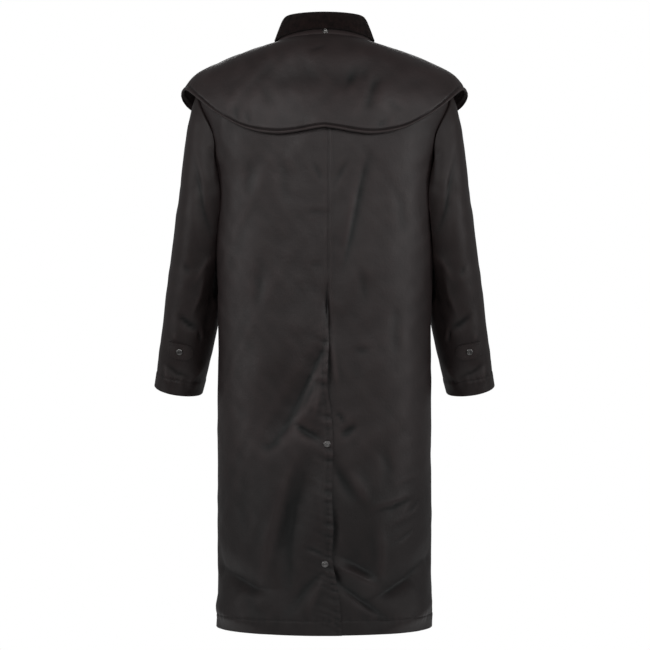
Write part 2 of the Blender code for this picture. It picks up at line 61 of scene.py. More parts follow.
# Body
HEM_Z = -1.194
VENT_TOP_Z = -0.585
UNDERARM_Z = -0.275
SHOULDER_Z = -0.087
RUN_SAMPLES = 600
FOLDS_FROM_SIDE = 0.05
FOLDS_FULL = 0.25
BACK_SCOOP = math.radians(21)
FRONT_SCOOP = math.radians(26)
SCOOP_SKEW = 0.8
SCOOP_FULLNESS = 0.8
HEM_HEIGHT = 0.028
HEM_LAYERS = 0.0009
STITCH_DIP = 0.0007
STITCH_DIP_WIDTH = 0.0022
SEAM_DIP = 0.0012
SEAM_DIP_WIDTH = 0.0035
ARMHOLE_DIP = 0.0050
ARMHOLE_DIP_WIDTH = 0.0030
ARMHOLE_LAP = 0.0060
PUCKER = 0.0007
PUCKER_PITCH = 0.0165
PUCKER_DRIFT = 0.0730
PUCKER_SWAY = 2.0
PUCKER_REACH = 0.011

# Vent of the back and the felled seam above it
CENTRE_BACK_X = 0.008
VENT_STEP = 0.0050
VENT_EASE = 0.05
VENT_REACH = 0.055
VENT_STITCH = 0.010
VENT_PUCKER = 0.0008
VENT_PUCKER_REACH = 0.034
VENT_PUCKER_SLANT = 0.35
FELL_WIDTH = 0.008
FELL_HEIGHT = 0.0008

# Storm flap of the front
FLAP_HALF_WIDTH = 0.036
FLAP_TOP_SHARE = 0.55
FLAP_STITCH = 0.006
FLAP_SNAP_TOP_Z = -0.150
FLAP_SNAP_STEP = 0.170
FLAP_SNAPS = 6

# Sleeves
UNDER_SEAM = math.radians(120)
UNDER_SEAM_LAP = math.radians(0.8)
ARMHOLE_TO_BICEPS = 0.130
CAP_SKEW = 0.6
CAP_START = 0.015
CAP_RISE = 0.010
SLEEVE_FOLDS_FROM = 0.1
SLEEVE_FOLDS_FULL = 0.6
SLEEVE_CLEARANCE = 0.003
SLEEVE_LEVEL = 0.8
CUFF_HEM = 0.030

# Cuff tabs
TAB_FROM = math.radians(53)
TAB_TO = math.radians(109)
TAB_HALF_HEIGHT = 0.016
TAB_ABOVE_CUFF = 0.094
TAB_TIP = 0.30
TAB_TIP_CUT = 0.93
TAB_LAYERS = 2 * WAXED_COTTON

# Cape
CAPE_FRONT_EDGE_X = 0.045
CAPE_EASE = 0.0015
CAPE_EASE_SHARE = 0.3
CAPE_FLARE = 3.0
CAPE_SEAM_RADIUS = 0.1
CAPE_RIM = 0.007
CAPE_RIM_HEIGHT = 0.0014
CAPE_TURN = 0.0030
CAPE_TURN_WIDTH = 0.0016
CAPE_STITCH_DIP = 0.0010
CAPE_PUCKER = 0.35

# Collar
STAND_END = math.radians(178.5)
FALL_END = math.radians(177.0)
FALL_SPREAD = math.radians(15)
FALL_SPREAD_SHARE = 0.75
FALL_RISE = 0.035
FALL_TUCK = 0.0075
FALL_TUCK_ANGLE = math.radians(60)
FALL_TUCK_SHARE = 0.45
STAND_DROP = 0.11
STAND_LIP = 0.0055
STAND_LIP_SHARE = 0.40
STAND_LIP_FROM = 0.15
STAND_LIP_FULL = 0.70
WALES = 270
WALE_COLUMNS = 4
WALE_HEIGHT = 0.0005

# Press studs
HOOD_STUD_ACROSS = 0.503
HOOD_STUD_SHARE = 0.155
HOOD_STUD_REACH = 0.10
HOOD_STUD_LIFT = 0.0004
STUD_SEGMENTS = 40
SEARCH_SAMPLES = 2001

# Profiles of the studs, from the middle of the top over the rim to the middle of the underside: a domed cap
# with a ring pressed into it, and a socket post with an open middle on a flat flange
Turn = namedtuple("Turn", "radius height")
SNAP_PROFILE = (
    Turn(0.0001, 0.0026),
    Turn(0.0016, 0.0027),
    Turn(0.0026, 0.0024),
    Turn(0.0031, 0.0023),
    Turn(0.0037, 0.0026),
    Turn(0.0048, 0.0025),
    Turn(0.0059, 0.0020),
    Turn(0.0066, 0.0013),
    Turn(0.0070, 0.0007),
    Turn(0.0070, 0.0002),
    Turn(0.0064, 0.0),
    Turn(0.0001, 0.0),
)
HOOD_STUD_PROFILE = (
    Turn(0.0001, 0.0008),
    Turn(0.0019, 0.0008),
    Turn(0.0021, 0.0036),
    Turn(0.0025, 0.0040),
    Turn(0.0033, 0.0040),
    Turn(0.0038, 0.0035),
    Turn(0.0036, 0.0022),
    Turn(0.0038, 0.0012),
    Turn(0.0056, 0.0010),
    Turn(0.0062, 0.0006),
    Turn(0.0062, 0.0),
    Turn(0.0001, 0.0),
)

# Sewing thread
STITCH_PITCH = 0.0036
STITCH_LENGTH = 0.0028
STITCH_WIDTH = 0.0009
STITCH_HEIGHT = 0.0006
STITCH_SAMPLES = 600
STITCH_INSET = 0.0016
SEAM_END = 0.004
TAB_STITCH = 0.0035
TAB_ROOT = 0.10
CAPE_STITCH = 0.036
STITCH_FACES = ((0, 2, 1), (0, 3, 2), (4, 1, 2), (4, 2, 3), (0, 1, 4), (0, 4, 3))

# Flat size in metres and area in square metres of the pieces of cloth, and the cells of their meshes
Cut = namedtuple("Cut", "width length area columns rows")
BACK_CUT = Cut(0.36, 1.26, 0.40, 90, 320)
FRONT_CUT = Cut(0.34, 1.22, 0.38, 52, 220)
FLAP_CUT = Cut(0.075, 1.15, None, 16, 220)
SLEEVE_TOP_CUT = Cut(0.32, 0.66, 0.17, 64, 150)
SLEEVE_UNDER_CUT = Cut(0.16, 0.60, 0.08, 28, 100)
TAB_CUT = Cut(0.07, 0.034, None, 30, 14)
CAPE_BACK_CUT = Cut(0.80, 0.24, 0.15, 200, 64)
CAPE_FRONT_CUT = Cut(0.36, 0.24, 0.06, 84, 60)
STAND_CUT = Cut(0.58, 0.05, None, 150, 10)
FALL_CUT = Cut(0.56, 0.076, 0.042, WALES * WALE_COLUMNS, 18)

# Colours, and the noises that spread them
Tones = namedtuple("Tones", "dark light")
Noise = namedtuple("Noise", "scale detail roughness")
BODY_TONES = Tones((0.0158, 0.0100, 0.0098), (0.0218, 0.0152, 0.0151))
# Sleeve tones: the body's waxed cotton made darker, as painted shade
SHADED_SLEEVE_TONES = Tones((0.0136, 0.0090, 0.0087), (0.0186, 0.0132, 0.0130))
CORD_TONES = Tones((0.0026, 0.0009, 0.0008), (0.0125, 0.0058, 0.0052))
GUNMETAL_TONES = Tones((0.13, 0.125, 0.125), (0.24, 0.235, 0.23))
SILVER_TONES = Tones((0.30, 0.295, 0.29), (0.44, 0.43, 0.42))
THREAD_TONES = Tones((0.012, 0.009, 0.0085), (0.030, 0.023, 0.021))
FLOOR_TONES = Tones((0.88, 0.88, 0.88), (0.92, 0.92, 0.92))
WHITE = (1.0, 1.0, 1.0, 1.0)
WAX_PATCHES = Noise(7.0, 5.0, 0.6)
WAX_SMEARS = Noise(19.0, 6.0, 0.65)
WAX_CRUMPLE = Noise(34.0, 5.0, 0.55)
WAX_SLUB = Noise(150.0, 4.0, 0.6)
CORD_NAP = Noise(75.0, 5.0, 0.65)
CORD_FUZZ = Noise(1500.0, 3.0, 0.5)
GUNMETAL_WEAR = Noise(420.0, 4.0, 0.5)
SILVER_WEAR = Noise(500.0, 3.0, 0.5)
THREAD_TWIST = Noise(800.0, 2.0, 0.5)
FLOOR_GRAIN = Noise(3.0, 2.0, 0.5)

# Parts of a noise or of a height that are used, and what they are turned into
WHOLE = (0.0, 1.0)
PATCH_PART = (0.3, 0.7)
SMEAR_PART = (0.25, 0.75)
NAP_PART = (0.34, 0.66)
# Crease heights turned into a factor on the cloth's colour: painted shade in the troughs, and on the ridges
# a paler tone that is partly painted highlight and partly worn wax
CREASE_SHADE_SPAN = (-0.0017, 0.0017)
CREASE_SHADE_AND_WEAR_TONE = (0.04, 2.00)
# Heights over which the cloth's colour gets painted shade, darker towards the bottom of the coat
LOWER_SHADE_SPAN = (-0.93, -0.81)
LOWER_SHADE_TONE = (0.56, 1.0)

# Gloss and small relief of the materials
Relief = namedtuple("Relief", "strength distance")
CRUMPLE_RELIEF = Relief(0.45, 0.0018)
SLUB_RELIEF = Relief(0.30, 0.0009)
WEAVE_RELIEF = Relief(0.25, 0.0001)
FUZZ_RELIEF = Relief(0.4, 0.0003)
THREAD_PITCH = 0.0006
THREAD_DISTORTION = 0.6
WAVE_RATE = 20
BODY_SHEEN = 0.46
SLEEVE_SHEEN = 0.36
WAX_ROUGHNESS = (0.47, 0.60)
CORD_ROUGHNESS = 0.95
CORD_SPECULAR = 0.2
CORD_SHEEN = 0.04
CORD_SHEEN_ROUGHNESS = 0.5
GUNMETAL_ROUGHNESS = (0.28, 0.42)
SILVER_ROUGHNESS = 0.3
THREAD_ROUGHNESS = 0.6
FLOOR_ROUGHNESS = 0.9
FLOOR_GLOW = 0.30

# Camera and studio
CAMERA_PLACE = (0.001, -5.0, -0.578)
CAMERA_LENS = 135.1
BEAM_SPREAD = math.radians(70)
FLOOR_Z = -1.42
FLOOR_RADIUS = 1.2
FLOOR_CORNERS = 128
FILL_SPAN = (-0.1, 0.5)
FILL_STRENGTH = (0.05, 0.25)
Softbox = namedtuple("Softbox", "name place target size power")
SOFTBOXES = (
    Softbox("softbox_key", (-1.7, -2.9, 1.1), (0.0, 0.0, 0.22), (1.1, 1.1), 5.0),
    Softbox("softbox_fill", (2.0, -2.8, 0.9), (0.0, 0.0, 0.25), (1.3, 1.3), 4.2),
    Softbox("softbox_left", (-3.3, -1.0, 0.0), (0.0, 0.0, 0.10), (1.2, 1.4), 3.6),
    Softbox("softbox_right", (3.3, -1.0, 0.0), (0.0, 0.0, 0.10), (1.2, 1.4), 4.2),
    Softbox("softbox_camera", (0.0, -4.4, 0.2), (0.0, 0.0, 0.10), (2.4, 1.0), 3.6),
    Softbox("softbox_front", (0.0, 4.2, 1.0), (0.0, 0.0, 0.0), (3.0, 1.8), 9.0),
)

# Rings of the body and the collar stand, from the bottom up, and of the fall, from its edge over the fold
Ring = namedtuple("Ring", "z_back z_side z_front half_width back_depth front_depth")
TORSO = (
    Ring(HEM_Z, HEM_Z, HEM_Z, 0.2205, 0.168, 0.158),
    Ring(-1.000, -1.000, -1.000, 0.2185, 0.160, 0.152),
    Ring(-0.800, -0.800, -0.800, 0.2185, 0.153, 0.147),
    Ring(-0.600, -0.600, -0.600, 0.218, 0.149, 0.143),
    Ring(-0.430, -0.430, -0.430, 0.222, 0.149, 0.141),
    Ring(UNDERARM_Z, UNDERARM_Z, UNDERARM_Z, 0.227, 0.151, 0.140),
    Ring(-0.190, -0.190, -0.190, 0.243, 0.149, 0.133),
    Ring(-0.120, -0.120, -0.120, 0.258, 0.141, 0.119),
    Ring(SHOULDER_Z, SHOULDER_Z, SHOULDER_Z, 0.250, 0.130, 0.107),
    Ring(-0.038, -0.046, -0.078, 0.204, 0.117, 0.102),
    Ring(-0.008, -0.0205, -0.073, 0.150, 0.101, 0.098),
    Ring(0.010, -0.004, -0.070, 0.100, 0.084, 0.094),
)
COLLAR_STAND = (
    Ring(0.0108, -0.0034, -0.0692, 0.0994, 0.0834, 0.0934),
    Ring(0.0300, 0.0220, -0.0520, 0.0885, 0.0778, 0.0905),
    Ring(0.0474, 0.0458, -0.0377, 0.0776, 0.0712, 0.0884),
)
COLLAR_FALL = (
    Ring(0.0222, 0.0050, -0.0900, 0.1035, 0.0945, 0.1275),
    Ring(0.0390, 0.0290, -0.0600, 0.0935, 0.0855, 0.1075),
    Ring(0.0520, 0.0500, -0.0340, 0.0832, 0.0765, 0.0940),
    Ring(0.0556, 0.0540, -0.0295, 0.0790, 0.0724, 0.0898),
    Ring(0.0538, 0.0522, -0.0313, 0.0745, 0.0680, 0.0853),
    Ring(0.0482, 0.0466, -0.0369, 0.0722, 0.0658, 0.0830),
)

# Edges of the lapped vent: the left panel's flap over the right panel's underlap
VentEdge = namedtuple("VentEdge", "z flap_x under_x")
VENT_EDGES = (
    VentEdge(HEM_Z, 0.034, -0.030),
    VentEdge(-1.164, 0.033, -0.031),
    VentEdge(-1.100, 0.026, -0.032),
    VentEdge(-1.045, 0.016, -0.032),
    VentEdge(-0.985, 0.017, -0.032),
    VentEdge(-0.925, 0.015, -0.032),
    VentEdge(-0.816, 0.017, -0.032),
    VentEdge(-0.751, 0.013, -0.031),
    VentEdge(-0.701, 0.006, -0.030),
    VentEdge(-0.651, 0.007, -0.026),
    VentEdge(-0.610, 0.009, -0.012),
    VentEdge(VENT_TOP_Z, CENTRE_BACK_X, CENTRE_BACK_X),
)
VentSnap = namedtuple("VentSnap", "name x z")
VENT_SNAPS = (
    VentSnap("snap_vent_upper", 0.005, -0.814),
    VentSnap("snap_vent_lower", 0.001, -1.052),
)

# Where the flap of the vent stands away from the underlap
VentGape = namedtuple("VentGape", "z reach height")
VENT_GAPES = (
    VentGape(-0.985, 0.050, 0.0055),
    VentGape(-1.082, 0.020, 0.0042),
    VentGape(-0.665, 0.050, 0.0036),
)

# Creases in millimetres along paths of (x, z) points seen square on. Going along a path, left and right are
# the widths on its two sides; a height below zero is a trough; a power of 2 is soft and one near 1 is sharp.
Crease = namedtuple("Crease", "path left right height power")
BACK_CREASES = (
    Crease(((94, -215), (74, -300), (53, -407), (31, -499)), 20, 8, -7.5, 1.5),
    Crease(((5, -481), (7, -548), (8, -616)), 6, 9, -8.5, 1.5),
    Crease(((-217, -211), (-204, -330), (-207, -489), (-200, -687)), 30, 20, 3, 1.9),
    Crease(((69, -453), (78, -504), (86, -548)), 12, 10, -2.2, 1.7),
    Crease(((-144, -230), (-148, -280), (-152, -359)), 16, 12, -1.4, 1.9),
    Crease(((-88, -227), (-82, -290), (-74, -354)), 14, 9, -1.6, 1.8),
    Crease(((-49, -351), (-13, -354), (23, -357)), 4, 5, -1.6, 1.4),
    Crease(((-33, -459), (3, -460)), 4, 5, -1.4, 1.4),
    Crease(((-17, -391), (5, -391)), 3, 4, -0.9, 1.4),
    Crease(((130, -286), (154, -340), (160, -419)), 13, 9, -1.8, 1.8),
    Crease(((-25, -250), (-1, -298)), 6, 6, -1.6, 1.6),
    Crease(((51, -244), (33, -274), (15, -310)), 6, 8, -1.8, 1.6),
    Crease(((-124, -409), (-132, -508), (-136, -588)), 14, 12, -2.2, 1.9),
    Crease(((150, -508), (142, -588), (146, -671)), 12, 14, -2.2, 1.9),
    Crease(((11, -584), (-11, -643), (-39, -703), (-65, -755)), 9, 30, -9, 1.6),
    Crease(((-21, -667), (-49, -723), (-80, -779), (-128, -846)), 16, 56, -12.5, 1.7),
    Crease(((1, -651), (-23, -709), (-53, -775)), 14, 10, 3, 1.8),
    Crease(((-7, -671), (-27, -707), (-47, -755)), 8, 6, -4.6, 1.6),
    Crease(((-5, -695), (-17, -735), (-23, -775)), 8, 9, 3.4, 1.7),
    Crease(((-72, -767), (-37, -792), (7, -812)), 12, 8, -7.5, 1.4),
    Crease(((-136, -826), (-110, -820), (-80, -810)), 10, 6, -2, 1.5),
    Crease(((14, -596), (19, -651), (27, -715)), 4, 5, 2.4, 1.5),
    Crease(((27, -802), (49, -790), (69, -775)), 12, 7, -4.2, 1.5),
    Crease(((19, -749), (33, -761), (43, -779)), 5, 4, -2.6, 1.4),
    Crease(((53, -626), (74, -628), (98, -628)), 4, 5, -2, 1.4),
    Crease(((-53, -818), (-78, -892), (-95, -959), (-112, -1035), (-140, -1128)), 10, 26, 8, 1.6),
    Crease(
        ((-9, -798), (-39, -874), (-63, -941), (-72, -1021), (-72, -1124), (-65, -1204)), 34, 26, -16.5, 1.6
    ),
    Crease(((-5, -850), (-9, -953), (-5, -1053)), 22, 30, 9.5, 1.8),
    Crease(((15, -1049), (-37, -1100), (-80, -1168)), 12, 16, -8.5, 1.6),
    Crease(((-1, -1069), (-21, -1120), (-41, -1168)), 8, 8, 3.6, 1.7),
    Crease(((5, -1037), (-25, -1023), (-49, -1021)), 5, 7, -3, 1.4),
    Crease(((-255, -1041), (-196, -1081), (-144, -1104), (-72, -1104)), 36, 18, -17, 1.4),
    Crease(((-255, -1124), (-184, -1164), (-100, -1192)), 34, 20, 12, 1.8),
    Crease(((-168, -1116), (-136, -1148), (-104, -1160)), 12, 14, -3.4, 1.8),
    Crease(((-156, -866), (-168, -945), (-160, -1029)), 18, 16, -3, 1.9),
    Crease(((3, -1061), (43, -1100), (86, -1132), (146, -1180)), 20, 10, -11, 1.5),
    Crease(((59, -1132), (122, -1114), (174, -1086), (241, -1021)), 38, 18, -17, 1.4),
    Crease(((98, -1192), (170, -1168), (245, -1120)), 34, 20, 12, 1.8),
    Crease(((11, -1025), (63, -1053), (126, -1088)), 44, 10, -8.5, 1.6),
    Crease(((7, -1049), (63, -1075), (122, -1108)), 8, 14, 7, 1.6),
    Crease(((108, -957), (116, -1035), (112, -1112)), 18, 8, 5.2, 1.4),
    Crease(((82, -946), (138, -932), (190, -914)), 12, 5, 3.2, 1.4),
    Crease(((90, -951), (140, -940), (186, -922)), 3, 7, -1.8, 1.5),
    Crease(((126, -965), (138, -947), (148, -925)), 3, 4, -1.6, 1.4),
    Crease(((150, -969), (164, -947), (172, -925)), 4, 3, 1.6, 1.4),
    Crease(((170, -959), (182, -941), (190, -922)), 4, 3, -1.5, 1.4),
    Crease(((11, -826), (35, -884), (63, -941)), 16, 12, -4.8, 1.6),
    Crease(((49, -856), (70, -902), (92, -943)), 12, 11, 4.6, 1.7),
    Crease(((59, -1148), (94, -1168), (142, -1164)), 10, 14, -3, 1.8),
    Crease(((118, -985), (154, -967), (198, -947)), 5, 4, 1.3, 1.4),
    Crease(((126, -1021), (158, -1005), (190, -979)), 5, 5, -1.5, 1.4),
    Crease(((134, -898), (166, -886), (198, -878)), 5, 4, 1.2, 1.4),
    Crease(((118, -806), (128, -866), (122, -918)), 12, 14, -2.6, 1.9),
)
FRONT_CREASES = (
    Crease(((-85, -300), (-70, -460), (-60, -620)), 24, 26, -5, 1.8),
    Crease(((-110, -760), (-121, -950), (-125, -1150)), 26, 28, -8, 1.8),
    Crease(((95, -330), (84, -470), (70, -600)), 26, 22, -4.5, 1.7),
    Crease(((120, -720), (109, -940), (105, -1160)), 24, 28, 7, 1.8),
    Crease(((-150, -420), (-112, -455), (-82, -470)), 8, 6, -2.2, 1.4),
    Crease(((160, -450), (118, -492), (75, -505)), 6, 9, -2.4, 1.4),
    Crease(((-60, -840), (-72, -985), (-68, -1090)), 14, 18, 3.6, 1.8),
    Crease(((62, -800), (70, -930), (58, -1080)), 16, 12, -4, 1.7),
    Crease(((165, -1060), (120, -1120), (72, -1140)), 14, 18, -4.2, 1.5),
    Crease(((-185, -1020), (-150, -1080), (-95, -1110)), 16, 12, -4.5, 1.5),
    Crease(((-120, -600), (-75, -622)), 5, 6, -1.4, 1.4),
    Crease(((85, -668), (140, -645)), 6, 5, -1.5, 1.4),
    Crease(((170, -300), (150, -400)), 12, 10, -2, 1.8),
)
SLEEVE_BACK_CREASES = (
    Crease(((274, -202), (259, -283), (245, -348), (219, -425)), 18, 10, -8.5, 1.5),
    Crease(((204, -417), (225, -503), (241, -588), (257, -682)), 40, 14, -9, 1.6),
    Crease(((213, -425), (241, -450), (270, -503)), 7, 16, 5, 1.4),
    Crease(((241, -454), (253, -519), (278, -572)), 10, 10, 5.6, 1.5),
    Crease(((310, -552), (278, -578), (247, -594)), 7, 10, -4.4, 1.5),
    Crease(((339, -653), (304, -678), (265, -688)), 10, 10, -5.6, 1.5),
    Crease(((290, -706), (263, -678), (241, -649)), 8, 8, 4.4, 1.5),
)
RIGHT_SLEEVE_CREASES = (
    *SLEEVE_BACK_CREASES,
    Crease(((237, -210), (229, -230), (222, -255)), 8, 6, -2.6, 1.5),
    Crease(((290, -454), (274, -484)), 8, 6, -1.6, 1.6),
    Crease(((255, -586), (252, -619)), 4, 4, -2.6, 1.5),
    Crease(((247, -590), (246, -619)), 4, 3, 2, 1.5),
    Crease(((312, -588), (308, -617)), 4, 4, 1.6, 1.5),
    Crease(((337, -651), (329, -680), (320, -706)), 6, 8, 2.6, 1.6),
)
LEFT_SLEEVE_CREASES = (
    *SLEEVE_BACK_CREASES,
    Crease(((237, -212), (227, -230), (221, -251)), 8, 6, -2.6, 1.5),
    Crease(((288, -450), (274, -478)), 8, 6, -1.6, 1.6),
    Crease(((255, -588), (252, -619)), 4, 4, -2.6, 1.5),
    Crease(((247, -590), (246, -617)), 4, 3, 2, 1.5),
    Crease(((310, -590), (306, -617)), 4, 4, 1.6, 1.5),
    Crease(((335, -653), (327, -682), (318, -706)), 6, 8, 2.6, 1.6),
)
SLEEVE_FRONT_CREASES = (
    Crease(((222, -300), (250, -360), (282, -400)), 12, 10, -3.8, 1.6),
    Crease(((236, -430), (268, -462), (300, -470)), 8, 10, -3.4, 1.5),
    Crease(((240, -480), (275, -520), (312, -525)), 10, 8, -3.6, 1.5),
    Crease(((258, -560), (296, -590)), 8, 10, 2.2, 1.7),
)
CAPE_CREASES = (
    Crease(((72, -46), (55, -78), (41, -112), (31, -150)), 10, 6, -1.2, 1.6),
    Crease(((84, -60), (72, -94)), 7, 6, -0.7, 1.6),
    Crease(((108, -68), (92, -118), (72, -178)), 14, 8, -2.5, 1.7),
    Crease(((122, -129), (140, -143), (162, -151)), 6, 5, -1.2, 1.5),
    Crease(((-37, -32), (-13, -24), (11, -18)), 4, 6, -1.2, 1.6),
    Crease(((-176, -131), (-172, -155), (-166, -175)), 6, 6, -1.8, 1.6),
    Crease(((-154, -143), (-150, -165), (-142, -183)), 5, 5, -1.6, 1.6),
    Crease(((114, -167), (108, -183), (110, -195)), 5, 5, -1.6, 1.6),
    Crease(((134, -155), (130, -175), (132, -187)), 5, 5, 1.2, 1.6),
    Crease(((-124, -87), (-116, -127), (-100, -163)), 14, 12, -1.4, 1.9),
)

# Sides of the coat: the creases of the sleeve, and 1 for the right side or -1 for its mirror image
Side = namedtuple("Side", "name creases facing")
SIDES = (
    Side("right", RIGHT_SLEEVE_CREASES, 1),
    Side("left", LEFT_SLEEVE_CREASES, -1),
)

# Slow unevenness of hanging cloth; x, y and z are the waves in a metre along each axis
WAVE_DRIFT = 1.5
Wave = namedtuple("Wave", "x y z phase height")
WAVES = (
    Wave(5.3, 3.1, 1.9, 0.4, 0.00060),
    Wave(-3.7, 4.6, 6.4, 1.7, 0.00040),
    Wave(9.1, -5.2, 4.3, 3.1, 0.00024),
    Wave(-12.4, 8.3, 7.7, 5.0, 0.00026),
    Wave(7.9, 13.6, -14.8, 2.2, 0.00020),
    Wave(21.0, -17.0, 11.0, 0.9, 0.00014),
)

# Rings of the right sleeve, from the biceps to the cuff
SleeveRing = namedtuple("SleeveRing", "x y z half_width half_depth")
SLEEVE = (
    SleeveRing(0.2405, 0.012, -0.300, 0.0560, 0.080),
    SleeveRing(0.2610, 0.032, -0.450, 0.0560, 0.073),
    SleeveRing(0.2817, 0.060, -0.600, 0.0565, 0.066),
    SleeveRing(0.3049, 0.086, -0.710, 0.0500, 0.059),
)

# Hem of the cape round the body, from the centre back to the centre front
CapeHem = namedtuple("CapeHem", "degrees z stand_off")
CAPE_HEM = (
    CapeHem(0, -0.186, 0.009),
    CapeHem(25, -0.197, 0.008),
    CapeHem(40, -0.183, 0.009),
    CapeHem(52, -0.157, 0.012),
    CapeHem(67, -0.124, 0.019),
    CapeHem(84, -0.105, 0.030),
    CapeHem(100, -0.122, 0.037),
    CapeHem(120, -0.154, 0.018),
    CapeHem(150, -0.185, 0.012),
    CapeHem(180, -0.190, 0.010),
)


# Curves and surfaces of the coat
def smooth_step(low, high, x):
    t = np.clip((x - low) / (high - low), 0.0, 1.0)
    return t * t * (3.0 - 2.0 * t)


def bump(x, width):
    """1 where x is 0, falling softly to 0 within a few widths."""
    return np.exp(-((x / width) ** 2))


def joined(t, span, start, start_slope, end, end_slope):
    """Smooth curve from start to end over a span, of which t is the share gone by."""
    rise = start * (1 + 2 * t) * (1 - t) ** 2 + start_slope * span * t * (1 - t) ** 2
    return rise + end * t**2 * (3 - 2 * t) + end_slope * span * t**2 * (t - 1)


def curve_through(stops, values, x):
    """Smooth curve through the points (stops, values), read at x."""
    slopes = np.gradient(values, stops, axis=0)
    i = np.clip(np.searchsorted(stops, x, side="right") - 1, 0, len(stops) - 2)
    span = stops[i + 1] - stops[i]
    return joined((x - stops[i]) / span, span, values[i], slopes[i], values[i + 1], slopes[i + 1])


def unit(vectors):
    return vectors / np.linalg.norm(vectors, axis=-1, keepdims=True)


def normals_of(surface, a, b):
    along_a = surface(a + NORMAL_STEP, b) - surface(a - NORMAL_STEP, b)
    along_b = surface(a, b + NORMAL_STEP) - surface(a, b - NORMAL_STEP)
    return unit(np.cross(along_a, along_b))


class Rings:
    """Surface through stacked rings. Angle 0 is the centre back, and +90 degrees the wearer's right side."""

    def __init__(self, rings):
        self.columns = {name: np.array([getattr(ring, name) for ring in rings]) for name in Ring._fields}
        steps = np.hypot(np.diff(self.columns["half_width"]), np.diff(self.columns["z_side"]))
        self.stops = np.concatenate([[0.0], np.cumsum(steps)])
        self.length = self.stops[-1]

    def size(self, name, run):
        return curve_through(self.stops, self.columns[name], run)

    def point(self, angle, run):
        side, ahead = np.sin(angle), np.cos(angle)
        depth = np.where(ahead > 0, self.size("back_depth", run), self.size("front_depth", run))
        level = self.size("z_side", run)
        end = np.where(ahead > 0, self.size("z_back", run), self.size("z_front", run))
        z = level + (end - level) * ahead**2
        return np.stack([self.size("half_width", run) * side, -depth * ahead, z], axis=-1)

    def normal(self, angle, run):
        return normals_of(self.point, angle, run)


torso = Rings(TORSO)
stand_rings = Rings(COLLAR_STAND)
fall_rings = Rings(COLLAR_FALL)
HEM_RADIUS = TORSO[0].half_width
TORSO_RUNS = np.linspace(0.0, torso.length, RUN_SAMPLES)
TORSO_HEIGHTS = torso.size("z_side", TORSO_RUNS)


def run_at(z):
    return np.interp(z, TORSO_HEIGHTS, TORSO_RUNS)


UNDERARM_RUN = run_at(UNDERARM_Z)
SHOULDER_RUN = run_at(SHOULDER_Z)
FLAP_TOP_RUN = SHOULDER_RUN + (torso.length - SHOULDER_RUN) * FLAP_TOP_SHARE


def scoop(run):
    """Shape of the armhole: 0 at the underarm and the shoulder, 1 where it is cut deepest."""
    share = np.clip((run - UNDERARM_RUN) / (SHOULDER_RUN - UNDERARM_RUN), 0.0, 1.0)
    return np.maximum(np.sin(math.pi * share**SCOOP_SKEW), 0.0) ** SCOOP_FULLNESS


def back_side_angle(run):
    return math.pi / 2 - BACK_SCOOP * scoop(run)


def front_side_angle(run):
    return math.pi / 2 + FRONT_SCOOP * scoop(run)


def angle_at_x(x, run):
    return np.arcsin(x / torso.size("half_width", run))


# Creases and other relief
def path_distance(path, x, z):
    """Distance to a path, whether a point lies left of it, and the share of the path gone by."""
    steps = np.diff(path, axis=0)
    lengths = np.hypot(steps[:, 0], steps[:, 1])
    nearest = np.full(x.shape, np.inf)
    left = np.zeros(x.shape, bool)
    share = np.zeros(x.shape)
    gone = 0.0
    for (start_x, start_z), (dx, dz), length in zip(path, steps, lengths):
        t = np.clip(((x - start_x) * dx + (z - start_z) * dz) / length**2, 0.0, 1.0)
        distance = np.hypot(x - start_x - dx * t, z - start_z - dz * t)
        closer = distance < nearest
        nearest = np.where(closer, distance, nearest)
        left = np.where(closer, dx * (z - start_z) - dz * (x - start_x) > 0, left)
        share = np.where(closer, (gone + length * t) / lengths.sum(), share)
        gone += length
    return nearest, left, share


def creased(creases, x, z):
    """Height of all creases of a table at the points (x, z)."""
    height = np.zeros_like(x)
    for crease in creases:
        path = np.array(crease.path) * MM
        margin = CREASE_REACH * max(crease.left, crease.right) * MM
        low_x, low_z = path.min(axis=0) - margin
        high_x, high_z = path.max(axis=0) + margin
        near = (x > low_x) & (x < high_x) & (z > low_z) & (z < high_z)
        if near.any():
            distance, left, share = path_distance(path, x[near], z[near])
            width = np.where(left, crease.left, crease.right) * MM
            ends = smooth_step(0.0, CREASE_TAPER, share) * smooth_step(1.0, 1.0 - CREASE_TAPER, share)
            height[near] += crease.height * MM * ends * np.exp(-((distance / width) ** crease.power))
    return height


def uneven(points):
    """Slow waves over the cloth, none of them regular."""
    height = np.zeros(len(points))
    for wave in WAVES:
        turn = math.tau * points @ np.array([wave.x, wave.y, wave.z]) + wave.phase
        drift = math.tau * points @ np.array([wave.z, wave.x, -wave.y]) / 2
        height += wave.height * np.sin(turn + WAVE_DRIFT * np.sin(drift))
    return height


def puckered(along, across, height=PUCKER, reach=PUCKER_REACH):
    """Small uneven ripples beside a line of stitches."""
    sway = PUCKER_SWAY * np.sin(math.tau * along / PUCKER_DRIFT)
    return height * np.sin(math.tau * along / PUCKER_PITCH + sway) * bump(across, reach)


def stitch_dip(distance, depth=STITCH_DIP):
    """Groove that a line of stitches pulls into the cloth."""
    return -depth * bump(distance, STITCH_DIP_WIDTH)


def hemmed(above, height, layers):
    """A turned hem of this height: thicker cloth below its line of stitches."""
    band = layers * smooth_step(height + STITCH_DIP_WIDTH / 2, height - STITCH_DIP_WIDTH / 2, above)
    return band + stitch_dip(above - height)


def seam_dip(distance):
    return -SEAM_DIP * bump(distance, SEAM_DIP_WIDTH)


def side_dip(distance, run):
    """Groove along a body panel's side edge, deeper where it is the armhole."""
    return seam_dip(distance) - ARMHOLE_DIP * scoop(run) * bump(distance, ARMHOLE_DIP_WIDTH)


